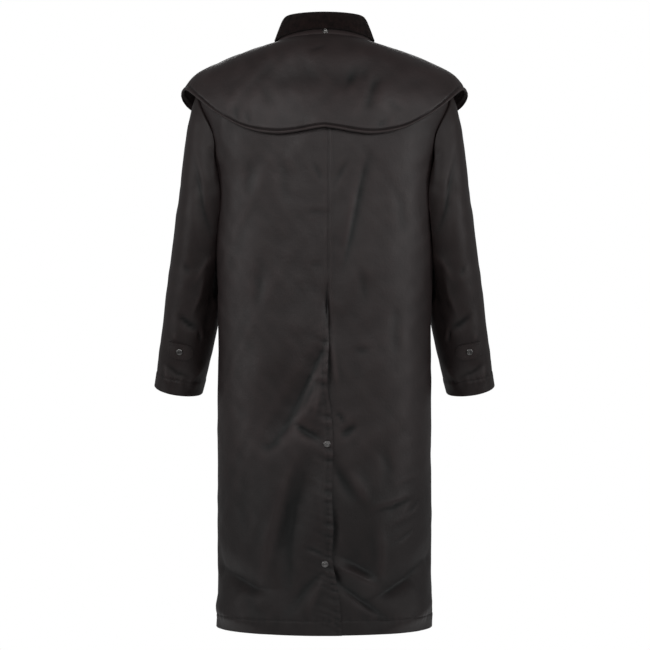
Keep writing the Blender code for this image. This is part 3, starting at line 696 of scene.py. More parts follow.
def body_relief(angle, run):
    points = torso.point(angle, run)
    x, _, z = points.T
    facing_back = np.cos(angle)
    height = creased(BACK_CREASES, x, z) * smooth_step(FOLDS_FROM_SIDE, FOLDS_FULL, facing_back)
    height += creased(FRONT_CREASES, x, z) * smooth_step(FOLDS_FROM_SIDE, FOLDS_FULL, -facing_back)
    above = z - HEM_Z
    height += hemmed(above, HEM_HEIGHT, HEM_LAYERS)
    height += puckered(angle * HEM_RADIUS, above - HEM_HEIGHT)
    return height + uneven(points)


def vent_edge(column, run):
    z = torso.size("z_side", run)
    heights = np.array([edge.z for edge in VENT_EDGES])
    edges = np.array([getattr(edge, column) for edge in VENT_EDGES])
    return curve_through(heights, edges, np.clip(z, heights[0], heights[-1]))


def vent_share(run):
    """1 where the two back panels lap at the vent, easing to 0 above it."""
    z = torso.size("z_side", run)
    return smooth_step(VENT_TOP_Z + VENT_EASE, VENT_TOP_Z, z)


def vent_gape(run):
    z = torso.size("z_side", run)
    return sum(gape.height * bump(z - gape.z, gape.reach) for gape in VENT_GAPES)


def moved(surface, angle, run, height):
    """Points of a ring surface moved out by a height, with its normals."""
    normals = surface.normal(angle, run)
    return surface.point(angle, run) + normals * height[:, None], normals


def back_left_span(run):
    side = -back_side_angle(run) - SEAM_LAP / torso.size("back_depth", run)
    return side, angle_at_x(vent_edge("flap_x", run), run)


def back_right_span(run):
    side = back_side_angle(run) + SEAM_LAP / torso.size("back_depth", run)
    return angle_at_x(vent_edge("under_x", run) - SEAM_LAP, run), side


def back_left(u, v):
    run = torso.length * v
    low, high = back_left_span(run)
    angle = low + (high - low) * u
    x, _, z = torso.point(angle, run).T
    lapped = vent_share(run)
    lift = VENT_STEP / 2 * lapped * smooth_step(-2 * VENT_REACH, -VENT_REACH, x)
    inside = vent_edge("flap_x", run) - x
    lift += vent_gape(run) * lapped * bump(inside, VENT_STITCH)
    lift += lapped * (puckered(z, inside - VENT_STITCH) + stitch_dip(inside - VENT_STITCH))
    lift += lapped * puckered(z - VENT_PUCKER_SLANT * inside, inside, VENT_PUCKER, VENT_PUCKER_REACH)
    lift += (1 - lapped) * seam_dip(inside)
    lift += side_dip((angle - low) * torso.size("half_width", run), run)
    return moved(torso, angle, run, lift + body_relief(angle, run))


def back_right(u, v):
    run = torso.length * v
    low, high = back_right_span(run)
    angle = low + (high - low) * u
    x = torso.point(angle, run)[:, 0]
    lapped = vent_share(run)
    lift = -VENT_STEP / 2 * lapped * smooth_step(2 * VENT_REACH, VENT_REACH, x)
    lift -= vent_gape(run) * lapped * bump(x - vent_edge("flap_x", run), VENT_STITCH)
    felled = smooth_step(CENTRE_BACK_X + FELL_WIDTH, CENTRE_BACK_X + FELL_WIDTH - STITCH_DIP_WIDTH, x)
    lift += (1 - lapped) * (FELL_HEIGHT * felled + seam_dip(x - CENTRE_BACK_X))
    lift += side_dip((high - angle) * torso.size("half_width", run), run)
    return moved(torso, angle, run, lift + body_relief(angle, run))


def front_right(u, v):
    run = torso.length * v
    low = front_side_angle(run) - SEAM_LAP / torso.size("front_depth", run)
    high = math.pi + SEAM_LAP / torso.size("half_width", run)
    angle = low + (high - low) * u
    lift = seam_dip((angle - low) * torso.size("half_width", run))
    return moved(torso, angle, run, lift + body_relief(angle, run))


def front_left(u, v):
    run = torso.length * v
    low = -math.pi
    high = SEAM_LAP / torso.size("front_depth", run) - front_side_angle(run)
    angle = low + (high - low) * u
    lift = seam_dip((high - angle) * torso.size("half_width", run))
    return moved(torso, angle, run, lift + body_relief(angle, run))


def storm_flap(u, v):
    run = FLAP_TOP_RUN * v
    half = angle_at_x(FLAP_HALF_WIDTH, run)
    angle = math.pi + half * (1 - 2 * u)
    inside = np.minimum(u, 1 - u) * 2 * FLAP_HALF_WIDTH
    z = torso.point(angle, run)[:, 2]
    lift = LAYER_GAP + stitch_dip(inside - FLAP_STITCH) + puckered(z, inside - FLAP_STITCH) / 2
    return moved(torso, angle, run, lift + body_relief(angle, run))


def armhole(phi):
    """Edge of the right armhole, lapped under the body; phi is 0 at the shoulder, positive at the back."""
    share = (1 + np.cos(phi)) / 2
    run = UNDERARM_RUN + (SHOULDER_RUN - UNDERARM_RUN) * share
    angle = np.where(np.sin(phi) > 0, back_side_angle(run), front_side_angle(run))
    edge = torso.point(angle, run)
    middle_run = np.array([(UNDERARM_RUN + SHOULDER_RUN) / 2])
    middle = torso.point(np.array([math.pi / 2]), middle_run)
    return edge - unit(middle - edge) * ARMHOLE_LAP


SLEEVE_CENTRES = np.array([(ring.x, ring.y, ring.z) for ring in SLEEVE])
SLEEVE_STEPS = np.linalg.norm(np.diff(SLEEVE_CENTRES, axis=0), axis=1)
SLEEVE_STOPS = np.cumsum([0.0, ARMHOLE_TO_BICEPS, *SLEEVE_STEPS])
SLEEVE_LENGTH = SLEEVE_STOPS[-1]


def sleeve_rings(phi):
    """Points of every ring of the right sleeve at the angles phi, from the armhole to the cuff."""
    tangents = unit(np.gradient(SLEEVE_CENTRES, SLEEVE_STOPS[1:], axis=0))
    rings = [armhole(phi)]
    for ring, centre, tangent in zip(SLEEVE, SLEEVE_CENTRES, tangents):
        sideways = np.array([1.0, 0.0, -SLEEVE_LEVEL * tangent[0] / tangent[2]])
        ahead = unit(np.array([0.0, 1.0, 0.0]) - tangent * tangent[1])
        out_x = np.cos(phi)[:, None] * unit(sideways) * ring.half_width
        out_y = np.sin(phi)[:, None] * ahead * ring.half_depth
        rings.append(centre + out_x - out_y)
    return np.stack(rings)


def clear_of_body(points):
    """The points, those too near the coat's body moved away from its axis."""
    run = np.minimum(run_at(points[:, 2]), SHOULDER_RUN)
    half_width = torso.size("half_width", run)
    depth = np.where(points[:, 1] < 0, torso.size("back_depth", run), torso.size("front_depth", run))
    reach = np.hypot(points[:, 0] / half_width, points[:, 1] / depth)
    push = np.maximum((1 + SLEEVE_CLEARANCE / half_width) / reach, 1.0)
    return points * np.stack([push, push, np.ones_like(push)], axis=-1)


def sleeve_point(phi, along):
    """Point of the right sleeve's smooth outer surface; along runs from the armhole to the cuff."""
    rings = sleeve_rings(phi)
    spots = np.arange(len(phi))
    slopes = np.gradient(rings, SLEEVE_STOPS, axis=0)
    i = np.clip(np.searchsorted(SLEEVE_STOPS, along, side="right") - 1, 0, len(SLEEVE_STOPS) - 2)
    span = (SLEEVE_STOPS[i + 1] - SLEEVE_STOPS[i])[:, None]
    t = (along - SLEEVE_STOPS[i])[:, None] / span
    points = joined(t, span, rings[i, spots], slopes[i, spots], rings[i + 1, spots], slopes[i + 1, spots])
    cap = np.sin(math.pi * np.clip(along / ARMHOLE_TO_BICEPS, 0.0, 1.0) ** CAP_SKEW)
    points[:, 0] += CAP_RISE * np.maximum(np.cos(phi), 0.0) * cap
    started = smooth_step(0.0, CAP_START, along)[:, None]
    return points + (clear_of_body(points) - points) * started


def sleeve_at(phi, along, creases, extra=0.0):
    """Point of the right sleeve's creased surface, with its normal."""
    points = sleeve_point(phi, along)
    normals = normals_of(sleeve_point, phi, along)
    x, _, z = points.T
    height = creased(creases, x, z) * smooth_step(SLEEVE_FOLDS_FROM, SLEEVE_FOLDS_FULL, np.sin(phi))
    front = smooth_step(SLEEVE_FOLDS_FROM, SLEEVE_FOLDS_FULL, -np.sin(phi))
    height += creased(SLEEVE_FRONT_CREASES, x, z) * front
    above = SLEEVE_LENGTH - along
    height += hemmed(above, CUFF_HEM, HEM_LAYERS) + puckered(phi * SLEEVE[-1].half_depth, above - CUFF_HEM)
    height += seam_dip(along) - ARMHOLE_DIP * bump(along, ARMHOLE_DIP_WIDTH) + uneven(points) + extra
    return points + normals * height[:, None], normals


def sleeve_panel(start, end, u, v, creases):
    span = end - start + 2 * UNDER_SEAM_LAP
    return sleeve_at(start - UNDER_SEAM_LAP + span * u, SLEEVE_LENGTH * v, creases)


def sleeve_top(creases):
    return lambda u, v: sleeve_panel(-UNDER_SEAM, UNDER_SEAM, u, v, creases)


def sleeve_under(creases):
    return lambda u, v: sleeve_panel(UNDER_SEAM, math.tau - UNDER_SEAM, u, v, creases)


def cuff_tab(creases):
    def surface(u, v):
        phi = TAB_FROM + (TAB_TO - TAB_FROM) * u
        rounded = np.sqrt(1 - np.clip((u - 1 + TAB_TIP) / TAB_TIP, 0.0, TAB_TIP_CUT) ** 2)
        along = SLEEVE_LENGTH - TAB_ABOVE_CUFF + TAB_HALF_HEIGHT * rounded * (2 * v - 1)
        return sleeve_at(phi, along, creases, LAYER_GAP)

    return surface


def mirrored(surface):
    def other_side(u, v):
        points, normals = surface(u, v)
        flip = np.array([-1.0, 1.0, 1.0])
        return points * flip, normals * flip

    return other_side


def sleeve_surfaces(creases, facing):
    """Top panel, under panel and cuff tab of the right sleeve, or of the left one where facing is -1."""
    surfaces = (sleeve_top(creases), sleeve_under(creases), cuff_tab(creases))
    return surfaces if facing > 0 else tuple(mirrored(surface) for surface in surfaces)


def cape_hem(column, angle):
    degrees = np.array([row.degrees for row in CAPE_HEM], float)
    values = np.array([getattr(row, column) for row in CAPE_HEM])
    return curve_through(degrees, values, np.degrees(np.abs(angle)))


def cape(angle, t):
    """Point of the cape, made from the body's surface and moved out; t is 0 at the neck and 1 at the hem."""
    hem_run = run_at(cape_hem("z", angle))
    run = torso.length + (hem_run - torso.length) * t
    ease = CAPE_EASE * smooth_step(0.0, CAPE_EASE_SHARE, t)
    flare = cape_hem("stand_off", angle) * t**CAPE_FLARE
    points = torso.point(angle, run)
    x, _, z = points.T
    height = LAYER_GAP + ease + flare + uneven(points) * smooth_step(0.0, CAPE_EASE_SHARE, t)
    off_side = smooth_step(-FOLDS_FROM_SIDE, FOLDS_FULL, np.abs(np.cos(angle)))
    height += creased(CAPE_CREASES, x, z) * off_side
    above = (torso.length - hem_run) * (1 - t)
    height += hemmed(above, CAPE_RIM, CAPE_RIM_HEIGHT) + stitch_dip(above - CAPE_RIM, CAPE_STITCH_DIP)
    height -= CAPE_TURN * bump(above, CAPE_TURN_WIDTH)
    height += CAPE_PUCKER * puckered(angle * HEM_RADIUS, above - CAPE_RIM)
    return moved(torso, angle, run, height)


def cape_back(u, v):
    end = math.pi / 2 + SEAM_LAP / CAPE_SEAM_RADIUS
    return cape(end * (2 * u - 1), v)


def cape_front(u, v):
    start = math.pi / 2 - SEAM_LAP / CAPE_SEAM_RADIUS
    run = torso.length + (run_at(CAPE_HEM[-1].z) - torso.length) * v
    end = math.pi - angle_at_x(CAPE_FRONT_EDGE_X, run)
    return cape(start + (end - start) * u, v)


def collar_stand(u, v):
    angle = STAND_END * (2 * u - 1)
    at_back = smooth_step(STAND_LIP_FROM, STAND_LIP_FULL, np.cos(angle))
    drop = STAND_DROP * at_back
    lip = STAND_LIP * at_back * smooth_step(STAND_LIP_SHARE, 0.0, v)
    return moved(stand_rings, angle, stand_rings.length * (v * (1 + drop) - drop), lip)


def collar_fall(u, v):
    end = FALL_END - FALL_SPREAD * smooth_step(FALL_SPREAD_SHARE, 0.0, v)
    angle = end * (2 * u - 1)
    wales = WALE_HEIGHT * (np.abs(np.sin(math.pi * WALES * u)) - 1)
    at_back = bump(angle, FALL_TUCK_ANGLE)
    tuck = FALL_TUCK * at_back * smooth_step(FALL_TUCK_SHARE, 0.0, v)
    rise = FALL_RISE * at_back
    return moved(fall_rings, angle, fall_rings.length * (rise + (1 - rise) * v), wales - tuck)


# Materials
def new_material(name):
    """New material with its node tree, its shader's inputs and its texture coordinates."""
    material = bpy.data.materials.new(name)
    material.use_nodes = True
    tree = material.node_tree
    place = tree.nodes.new("ShaderNodeTexCoord")
    return material, tree, tree.nodes["Principled BSDF"].inputs, place.outputs


def noise(tree, place, grain):
    node = tree.nodes.new("ShaderNodeTexNoise")
    node.inputs["Scale"].default_value = grain.scale
    node.inputs["Detail"].default_value = grain.detail
    node.inputs["Roughness"].default_value = grain.roughness
    tree.links.new(place["Object"], node.inputs["Vector"])
    return node.outputs["Fac"]


def spread(tree, value, source, target):
    """A value from between the two ends of source, taken to between the two ends of target."""
    node = tree.nodes.new("ShaderNodeMapRange")
    for socket, number in zip(("From Min", "From Max", "To Min", "To Max"), (*source, *target)):
        node.inputs[socket].default_value = number
    tree.links.new(value, node.inputs["Value"])
    return node.outputs["Result"]


def mottled(tree, place, grain, part, tones):
    """Colour that drifts from one tone to the other with a part of a noise."""
    node = tree.nodes.new("ShaderNodeMix")
    node.data_type = "RGBA"
    node.inputs["A"].default_value = (*tones.dark, 1.0)
    node.inputs["B"].default_value = (*tones.light, 1.0)
    tree.links.new(spread(tree, noise(tree, place, grain), part, WHOLE), node.inputs["Factor"])
    return node.outputs["Result"]


def scaled(tree, colour, factor):
    node = tree.nodes.new("ShaderNodeVectorMath")
    node.operation = "SCALE"
    tree.links.new(colour, node.inputs["Vector"])
    tree.links.new(factor, node.inputs["Scale"])
    return node.outputs["Vector"]


def bumped(tree, height, relief, below=None):
    node = tree.nodes.new("ShaderNodeBump")
    node.inputs["Strength"].default_value = relief.strength
    node.inputs["Distance"].default_value = relief.distance
    tree.links.new(height, node.inputs["Height"])
    if below is not None:
        tree.links.new(below, node.inputs["Normal"])
    return node.outputs["Normal"]


def weave(tree, place):
    """Threads crossing at right angles, as a height."""
    crossing = tree.nodes.new("ShaderNodeMath")
    crossing.operation = "MULTIPLY"
    for direction, socket in zip(("X", "Y"), crossing.inputs):
        wave = tree.nodes.new("ShaderNodeTexWave")
        wave.bands_direction = direction
        wave.inputs["Scale"].default_value = 1 / (THREAD_PITCH * WAVE_RATE)
        wave.inputs["Distortion"].default_value = THREAD_DISTORTION
        tree.links.new(place["UV"], wave.inputs["Vector"])
        tree.links.new(wave.outputs["Fac"], socket)
    return crossing.outputs["Value"]


def waxed_cotton(name, tones, sheen):
    """Waxed cotton with painted shade: darker in its troughs and below the seat, and paler on its ridges,
    which is partly painted highlight and partly worn wax.
    """
    material, tree, shader, place = new_material(name)
    # The wear attribute holds ridge and trough heights: painted as shade in the troughs and as a paler tone
    # on the ridges, partly painted highlight and partly worn wax
    wear = tree.nodes.new("ShaderNodeAttribute")
    wear.attribute_name = "wear"
    shaded_and_rubbed = spread(tree, wear.outputs["Fac"], CREASE_SHADE_SPAN, CREASE_SHADE_AND_WEAR_TONE)
    crease_shaded_colour = scaled(tree, mottled(tree, place, WAX_PATCHES, PATCH_PART, tones), shaded_and_rubbed)
    # Painted shade: the colour darker towards the bottom of the coat, below the seat
    axes = tree.nodes.new("ShaderNodeSeparateXYZ")
    tree.links.new(place["Object"], axes.inputs["Vector"])
    painted_lower_shade = spread(tree, axes.outputs["Z"], LOWER_SHADE_SPAN, LOWER_SHADE_TONE)
    tree.links.new(scaled(tree, crease_shaded_colour, painted_lower_shade), shader["Base Color"])
    shader["Specular IOR Level"].default_value = sheen
    smears = noise(tree, place, WAX_SMEARS)
    tree.links.new(spread(tree, smears, SMEAR_PART, WAX_ROUGHNESS), shader["Roughness"])
    crumpled = bumped(tree, noise(tree, place, WAX_CRUMPLE), CRUMPLE_RELIEF)
    slubbed = bumped(tree, noise(tree, place, WAX_SLUB), SLUB_RELIEF, crumpled)
    tree.links.new(bumped(tree, weave(tree, place), WEAVE_RELIEF, slubbed), shader["Normal"])
    return material


def corduroy():
    material, tree, shader, place = new_material("brown_corduroy_cloth")
    tree.links.new(mottled(tree, place, CORD_NAP, NAP_PART, CORD_TONES), shader["Base Color"])
    tree.links.new(bumped(tree, noise(tree, place, CORD_FUZZ), FUZZ_RELIEF), shader["Normal"])
    shader["Roughness"].default_value = CORD_ROUGHNESS
    shader["Specular IOR Level"].default_value = CORD_SPECULAR
    shader["Sheen Weight"].default_value = CORD_SHEEN
    shader["Sheen Roughness"].default_value = CORD_SHEEN_ROUGHNESS
    return material


def gunmetal():
    material, tree, shader, place = new_material("gunmetal_plate")
    tree.links.new(mottled(tree, place, GUNMETAL_WEAR, PATCH_PART, GUNMETAL_TONES), shader["Base Color"])
    wear = noise(tree, place, GUNMETAL_WEAR)
    tree.links.new(spread(tree, wear, PATCH_PART, GUNMETAL_ROUGHNESS), shader["Roughness"])
    shader["Metallic"].default_value = 1.0
    return material


def silver():
    material, tree, shader, place = new_material("hood_stud_plate")
    tree.links.new(mottled(tree, place, SILVER_WEAR, PATCH_PART, SILVER_TONES), shader["Base Color"])
    shader["Roughness"].default_value = SILVER_ROUGHNESS
    shader["Metallic"].default_value = 1.0
    return material


def thread():
    material, tree, shader, place = new_material("sewing_thread")
    tree.links.new(mottled(tree, place, THREAD_TWIST, WHOLE, THREAD_TONES), shader["Base Color"])
    shader["Roughness"].default_value = THREAD_ROUGHNESS
    return material


def pale_floor():
    material, tree, shader, place = new_material("pale_floor")
    tree.links.new(mottled(tree, place, FLOOR_GRAIN, WHOLE, FLOOR_TONES), shader["Base Color"])
    shader["Roughness"].default_value = FLOOR_ROUGHNESS
    shader["Emission Color"].default_value = WHITE
    shader["Emission Strength"].default_value = FLOOR_GLOW
    return material


# Meshes
def add_mesh(name, points, faces, material):
    mesh = bpy.data.meshes.new(name)
    mesh.from_pydata(points.tolist(), [], faces.tolist())
    mesh.materials.append(material)
    mesh.shade_smooth()
    mesh.set_sharp_from_angle(angle=SHARP_ANGLE)
    piece = bpy.data.objects.new(name, mesh)
    bpy.context.scene.collection.objects.link(piece)
    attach(piece, "root")
    return piece


def grid_faces(columns, rows):
    """Corners of the cells of a grid of points, row by row."""
    across = columns + 1
    corner = np.arange(rows)[:, None] * across + np.arange(columns)
    return np.stack([corner, corner + 1, corner + across + 1, corner + across], axis=-1).reshape(-1, 4)


def rim_faces(columns, rows, offset):
    """Faces that close the four edges between an outer grid and an inner one stored after it."""
    across = columns + 1
    bottom = np.arange(across)
    right = np.arange(rows + 1) * across + columns
    top = np.arange(across)[::-1] + rows * across
    left = np.arange(rows + 1)[::-1] * across
    loop = np.concatenate([bottom[:-1], right[:-1], top[:-1], left[:-1]])
    after = np.roll(loop, -1)
    return np.stack([loop, loop + offset, after + offset, after], axis=-1)


def metric_uv(mesh, u, v, cut):
    """Cloth coordinates in metres, for the weave."""
    spots = np.stack([u * cut.width, v * cut.length], axis=-1)
    spots = np.concatenate([spots, spots])
    corners = np.empty(len(mesh.loops), int)
    mesh.loops.foreach_get("vertex_index", corners)
    layer = mesh.uv_layers.new(name="cloth")
    layer.data.foreach_set("uv", spots[corners].ravel())


def stands_out(points, normals, cut):
    """How far each point of a grid stands out from the cloth around it: below zero in troughs."""
    grid = points.reshape(cut.rows + 1, cut.columns + 1, 3)
    around = []
    for axis in (0, 1):
        step = np.linalg.norm(np.diff(grid, axis=axis), axis=-1).mean()
        reach = max(round(CREASE_SHADE_REACH / step), 1)
        pads = [(0, 0)] * 3
        pads[axis] = (reach, reach)
        wide = np.pad(grid, pads, mode="reflect", reflect_type="odd")
        size = grid.shape[axis]
        around.append(np.take(wide, range(size), axis))
        around.append(np.take(wide, range(2 * reach, size + 2 * reach), axis))
    return ((grid - np.mean(around, axis=0)).reshape(-1, 3) * normals).sum(axis=-1)


def add_crease_shade_and_wear(mesh, heights):
    """Ridges and troughs of the cloth as an attribute that its material reads, to paint shade into the
    troughs and a paler tone onto the ridges, partly painted highlight and partly worn wax.
    """
    layer = mesh.attributes.new("wear", "FLOAT", "POINT")
    layer.data.foreach_set("value", np.concatenate([heights, heights]))


def closer_at_ends(count, closeness):
    """Steps from 0 to 1 that are smaller near both ends, for the seams and hems there."""
    t = np.linspace(0.0, 1.0, count + 1)
    return t - closeness * np.sin(math.tau * t) / math.tau


def cloth(name, surface, cut, material, low=0.0, high=0.0, facing=1):
    """Thin closed shell on a surface, from its inner side at low to its outer side at high."""
    across = closer_at_ends(cut.columns, COLUMN_CLOSENESS)
    along = closer_at_ends(cut.rows, ROW_CLOSENESS)
    grid_v, grid_u = np.meshgrid(along, across, indexing="ij")
    u, v = grid_u.ravel(), grid_v.ravel()
    points, normals = surface(u, v)
    outer = grid_faces(cut.columns, cut.rows)
    inner = outer[:, ::-1] + len(u)
    rim = rim_faces(cut.columns, cut.rows, len(u))
    faces = np.concatenate([outer, inner, rim])[:, ::facing]
    sides = np.concatenate([points + normals * high, points + normals * low])
    piece = add_mesh(f"{name}_cloth", sides, faces, material)
    metric_uv(piece.data, u, v, cut)
    # Ridge and trough heights, for the painted crease shade and wax wear of the material
    add_crease_shade_and_wear(piece.data, stands_out(points, normals, cut))
    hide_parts(name)


def turned(name, profile, place, axis, material, node):
    """Stud turned from a profile, standing on place along axis."""
    turns = np.linspace(0.0, math.tau, STUD_SEGMENTS, endpoint=False)
    radii, heights = np.array(profile).T
    ring = np.stack([np.cos(turns), np.sin(turns)], axis=-1)
    flat = radii[:, None, None] * ring
    tall = np.broadcast_to(heights[:, None, None], (*flat.shape[:2], 1))
    points = np.concatenate([flat, tall], axis=-1).reshape(-1, 3)
    corner = np.arange(STUD_SEGMENTS)
    down = np.arange(len(profile) - 1)[:, None] * STUD_SEGMENTS
    here = corner + down
    after = np.roll(corner, -1) + down
    faces = np.stack([here, here + STUD_SEGMENTS, after + STUD_SEGMENTS, after], axis=-1)
    frame_z = unit(axis)
    frame_x = unit(np.cross([0.0, 0.0, 1.0], frame_z))
    axes = np.stack([frame_x, np.cross(frame_z, frame_x), frame_z])
    stud = add_mesh(name, points @ axes + place, faces.reshape(-1, 4), material)
    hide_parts(node)


def stitches_on(surface, u, v, lift=0.0):
    """Stitches along a path over a surface: their middles, directions and normals."""
    points, normals = surface(u, v)
    points = points + normals * lift
    gone = np.concatenate([[0.0], np.cumsum(np.linalg.norm(np.diff(points, axis=0), axis=1))])
    stops = np.arange(STITCH_PITCH / 2, gone[-1], STITCH_PITCH)
    middles = np.stack([np.interp(stops, gone, column) for column in points.T], axis=-1)
    ups = unit(np.stack([np.interp(stops, gone, column) for column in normals.T], axis=-1))
    directions = unit(np.gradient(middles, axis=0))
    return middles, directions, ups


def sew(name, runs, material):
    """One mesh of all stitches of these runs, each a small raised length of thread."""
    middles, directions, ups = (np.concatenate(parts) for parts in zip(*runs))
    ends = directions * STITCH_LENGTH / 2
    sides = np.cross(ups, directions) * STITCH_WIDTH / 2
    top = middles + ups * STITCH_HEIGHT
    corners = np.stack([middles - ends, middles + sides, top, middles - sides, middles + ends], axis=1)
    count, per_stitch, _ = corners.shape
    faces = np.arange(count)[:, None, None] * per_stitch + np.array(STITCH_FACES)
    add_mesh(name, corners.reshape(-1, 3), faces.reshape(-1, 3), material)


# Pieces
def make_backs(waxed):
    cloth("back_left", back_left, BACK_CUT, waxed, low=-WAXED_COTTON)
    cloth("back_right", back_right, BACK_CUT, waxed, low=-WAXED_COTTON)


def make_fronts(waxed):
    cloth("front_left", front_left, FRONT_CUT, waxed, low=-WAXED_COTTON)
    cloth("front_right", front_right, FRONT_CUT, waxed, low=-WAXED_COTTON)


def make_storm_flap(waxed):
    cloth("storm_flap", storm_flap, FLAP_CUT, waxed, high=WAXED_COTTON, facing=-1)


def make_sleeves(waxed):
    for side, creases, facing in SIDES:
        top, under, tab = sleeve_surfaces(creases, facing)
        cloth(f"sleeve_top_{side}", top, SLEEVE_TOP_CUT, waxed, low=-WAXED_COTTON, facing=facing)
        cloth(f"sleeve_under_{side}", under, SLEEVE_UNDER_CUT, waxed, low=-WAXED_COTTON, facing=facing)
        cloth(f"cuff_tab_{side}", tab, TAB_CUT, waxed, high=TAB_LAYERS, facing=facing)


def make_cape(waxed):
    cloth("cape_back", cape_back, CAPE_BACK_CUT, waxed, high=WAXED_COTTON, facing=-1)
    cloth("cape_front_right", cape_front, CAPE_FRONT_CUT, waxed, high=WAXED_COTTON, facing=-1)
    cloth("cape_front_left", mirrored(cape_front), CAPE_FRONT_CUT, waxed, high=WAXED_COTTON)


def make_collar(waxed, cord):
    cloth("collar_stand", collar_stand, STAND_CUT, waxed, low=-WAXED_COTTON)
    cloth("collar_fall", collar_fall, FALL_CUT, cord, low=-CORDUROY)


def on_body(surface, x, z):
    """Place and normal on a back panel's creased surface at (x, z)."""
    u = np.linspace(0.0, 1.0, SEARCH_SAMPLES)
    points, normals = surface(u, np.full_like(u, run_at(z) / torso.length))
    nearest = np.abs(points[:, 0] - x).argmin()
    return points[nearest], normals[nearest]


def make_vent_snaps(metal):
    for snap in VENT_SNAPS:
        place, axis = on_body(back_left, snap.x, snap.z)
        turned(f"{snap.name}_cap", SNAP_PROFILE, place, axis, metal, snap.name)


def snap_on(name, surface, v, lift, metal):
    """Snap on the middle line of a piece of cloth."""
    points, normals = surface(np.array([0.5]), np.array([v]))
    turned(f"{name}_cap", SNAP_PROFILE, points[0] + normals[0] * lift, normals[0], metal, name)


def make_front_snaps(metal):
    for i in range(FLAP_SNAPS):
        v = run_at(FLAP_SNAP_TOP_Z - i * FLAP_SNAP_STEP) / FLAP_TOP_RUN
        snap_on(f"snap_front_{i + 1}", storm_flap, v, WAXED_COTTON, metal)


def make_cuff_snaps(metal):
    for side, creases, facing in SIDES:
        *_, tab = sleeve_surfaces(creases, facing)
        snap_on(f"snap_cuff_{side}", tab, 0.5, TAB_LAYERS, metal)


def make_hood_stud(bright):
    """Stud of the hood, square to the slope of the collar stand."""
    shares = np.array([HOOD_STUD_SHARE - HOOD_STUD_REACH, HOOD_STUD_SHARE + HOOD_STUD_REACH])
    (low, high), _ = collar_stand(np.full_like(shares, HOOD_STUD_ACROSS), shares)
    axis = unit(np.cross([1.0, 0.0, 0.0], high - low))
    place = (low + high) / 2 + axis * HOOD_STUD_LIFT
    turned("hood_stud_socket", HOOD_STUD_PROFILE, place, axis, bright, "hood_stud")


def hem_line(surface):
    """Stitches of the bottom hem on a body panel."""
    u = np.linspace(SEAM_END, 1 - SEAM_END, STITCH_SAMPLES)
    return stitches_on(surface, u, np.full_like(u, run_at(HEM_Z + HEM_HEIGHT) / torso.length))


def upright_line(surface, span, x, run):
    """Stitches up a back panel at x, along the run."""
    low, high = span(run)
    u = (angle_at_x(x, run) - low) / (high - low)
    return stitches_on(surface, u, run / torso.length)


def sew_body(material):
    runs = [hem_line(surface) for surface in (back_left, back_right, front_left, front_right)]
    seam = run_at(np.linspace(VENT_TOP_Z, SHOULDER_Z, STITCH_SAMPLES))
    for row in (STITCH_INSET, FELL_WIDTH - STITCH_INSET):
        runs.append(upright_line(back_right, back_right_span, CENTRE_BACK_X + row, seam))
    vent = run_at(np.linspace(HEM_Z + HEM_HEIGHT, VENT_TOP_Z, STITCH_SAMPLES))
    runs.append(upright_line(back_left, back_left_span, vent_edge("flap_x", vent) - VENT_STITCH, vent))
    v = np.linspace(SEAM_END, 1 - SEAM_END, STITCH_SAMPLES)
    inset = FLAP_STITCH / (2 * FLAP_HALF_WIDTH)
    for across in (inset, 1 - inset):
        runs.append(stitches_on(storm_flap, np.full_like(v, across), v, WAXED_COTTON))
    sew("stitches_body", runs, material)


def sew_sleeves(material):
    runs = []
    u = np.linspace(SEAM_END, 1 - SEAM_END, STITCH_SAMPLES)
    hem = np.full_like(u, 1 - CUFF_HEM / SLEEVE_LENGTH)
    inset = TAB_STITCH / (2 * TAB_HALF_HEIGHT)
    for _, creases, facing in SIDES:
        top, under, tab = sleeve_surfaces(creases, facing)
        runs.append(stitches_on(top, u, hem))
        runs.append(stitches_on(under, u, hem))
        for across in (inset, 1 - inset):
            runs.append(stitches_on(tab, u, np.full_like(u, across), TAB_LAYERS))
        runs.append(stitches_on(tab, np.full_like(u, TAB_ROOT), inset + (1 - 2 * inset) * u, TAB_LAYERS))
    sew("stitches_sleeves", runs, material)


def sew_cape(material):
    runs = []
    u = np.linspace(SEAM_END, 1 - SEAM_END, STITCH_SAMPLES)
    edge = np.full_like(u, 1 - CAPE_STITCH)
    fronts = (cape_front, mirrored(cape_front))
    for surface in (cape_back, *fronts):
        runs.append(stitches_on(surface, u, edge, WAXED_COTTON))
    for surface in fronts:
        runs.append(stitches_on(surface, edge, u, WAXED_COTTON))
    sew("stitches_cape", runs, material)


def make_floor():
    bpy.ops.mesh.primitive_circle_add(vertices=FLOOR_CORNERS, radius=FLOOR_RADIUS, fill_type="NGON")
    floor = bpy.context.object
    floor.name = "floor"
    floor.location.z = FLOOR_Z
    floor.data.materials.append(pale_floor())


def add_softbox(softbox):
    light = bpy.data.lights.new(softbox.name, "AREA")
    light.shape = "RECTANGLE"
    light.size, light.size_y = softbox.size
    light.energy = softbox.power
    light.spread = BEAM_SPREAD
    lamp = bpy.data.objects.new(softbox.name, light)
    lamp.location = softbox.place
    aim = Vector(softbox.target) - Vector(softbox.place)
    lamp.rotation_euler = aim.to_track_quat("-Z", "Y").to_euler()
    bpy.context.scene.collection.objects.link(lamp)


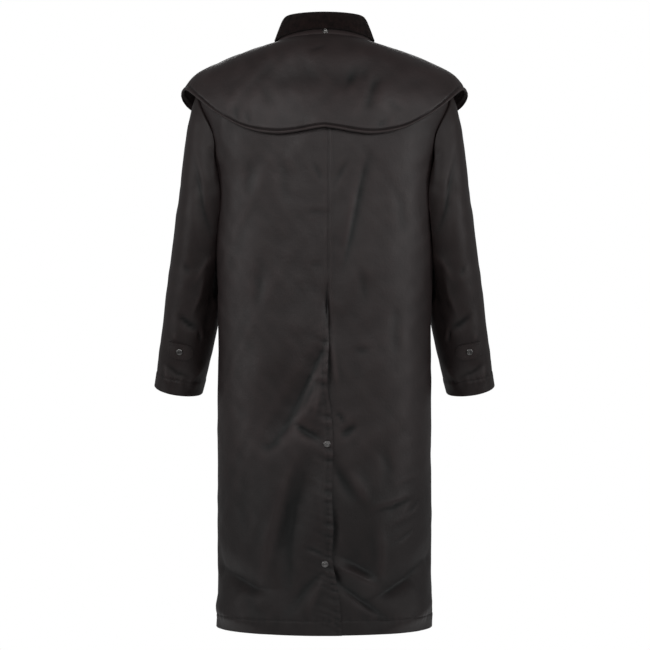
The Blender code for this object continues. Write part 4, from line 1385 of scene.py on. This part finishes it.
def make_world():
    """White behind the coat, with weaker light of its own that is strongest on the front."""
    world = bpy.data.worlds.new("studio")
    bpy.context.scene.world = world
    world.use_nodes = True
    tree = world.node_tree
    seen = tree.nodes["Background"]
    seen.inputs["Color"].default_value = WHITE
    seen.inputs["Strength"].default_value = 1.0
    fill = tree.nodes.new("ShaderNodeBackground")
    fill.inputs["Color"].default_value = WHITE
    place = tree.nodes.new("ShaderNodeTexCoord")
    axes = tree.nodes.new("ShaderNodeSeparateXYZ")
    tree.links.new(place.outputs["Generated"], axes.inputs["Vector"])
    tree.links.new(spread(tree, axes.outputs["Y"], FILL_SPAN, FILL_STRENGTH), fill.inputs["Strength"])
    path = tree.nodes.new("ShaderNodeLightPath")
    mix = tree.nodes.new("ShaderNodeMixShader")
    tree.links.new(path.outputs["Is Camera Ray"], mix.inputs["Fac"])
    tree.links.new(fill.outputs["Background"], mix.inputs[1])
    tree.links.new(seen.outputs["Background"], mix.inputs[2])
    tree.links.new(mix.outputs["Shader"], tree.nodes["World Output"].inputs["Surface"])


def make_studio():
    for softbox in SOFTBOXES:
        add_softbox(softbox)
    make_world()
    bpy.context.scene.view_settings.view_transform = "Standard"


def make_camera():
    lens = bpy.data.cameras.new("camera")
    lens.lens = CAMERA_LENS
    camera = bpy.data.objects.new("camera", lens)
    camera.location = CAMERA_PLACE
    camera.rotation_euler = (math.pi / 2, 0.0, 0.0)
    bpy.context.scene.collection.objects.link(camera)
    bpy.context.scene.camera = camera


def main():
    waxed = waxed_cotton("waxed_cotton_body", BODY_TONES, BODY_SHEEN)
    make_backs(waxed)
    make_fronts(waxed)
    make_storm_flap(waxed)
    # The sleeves get a darker copy of the body's waxed cotton: painted shade
    make_sleeves(waxed_cotton("waxed_cotton_sleeves_shaded", SHADED_SLEEVE_TONES, SLEEVE_SHEEN))
    make_cape(waxed)
    make_collar(waxed, corduroy())
    metal = gunmetal()
    make_vent_snaps(metal)
    make_front_snaps(metal)
    make_cuff_snaps(metal)
    make_hood_stud(silver())
    cotton = thread()
    sew_body(cotton)
    sew_sleeves(cotton)
    sew_cape(cotton)
    make_floor()
    make_studio()
    make_camera()


main()
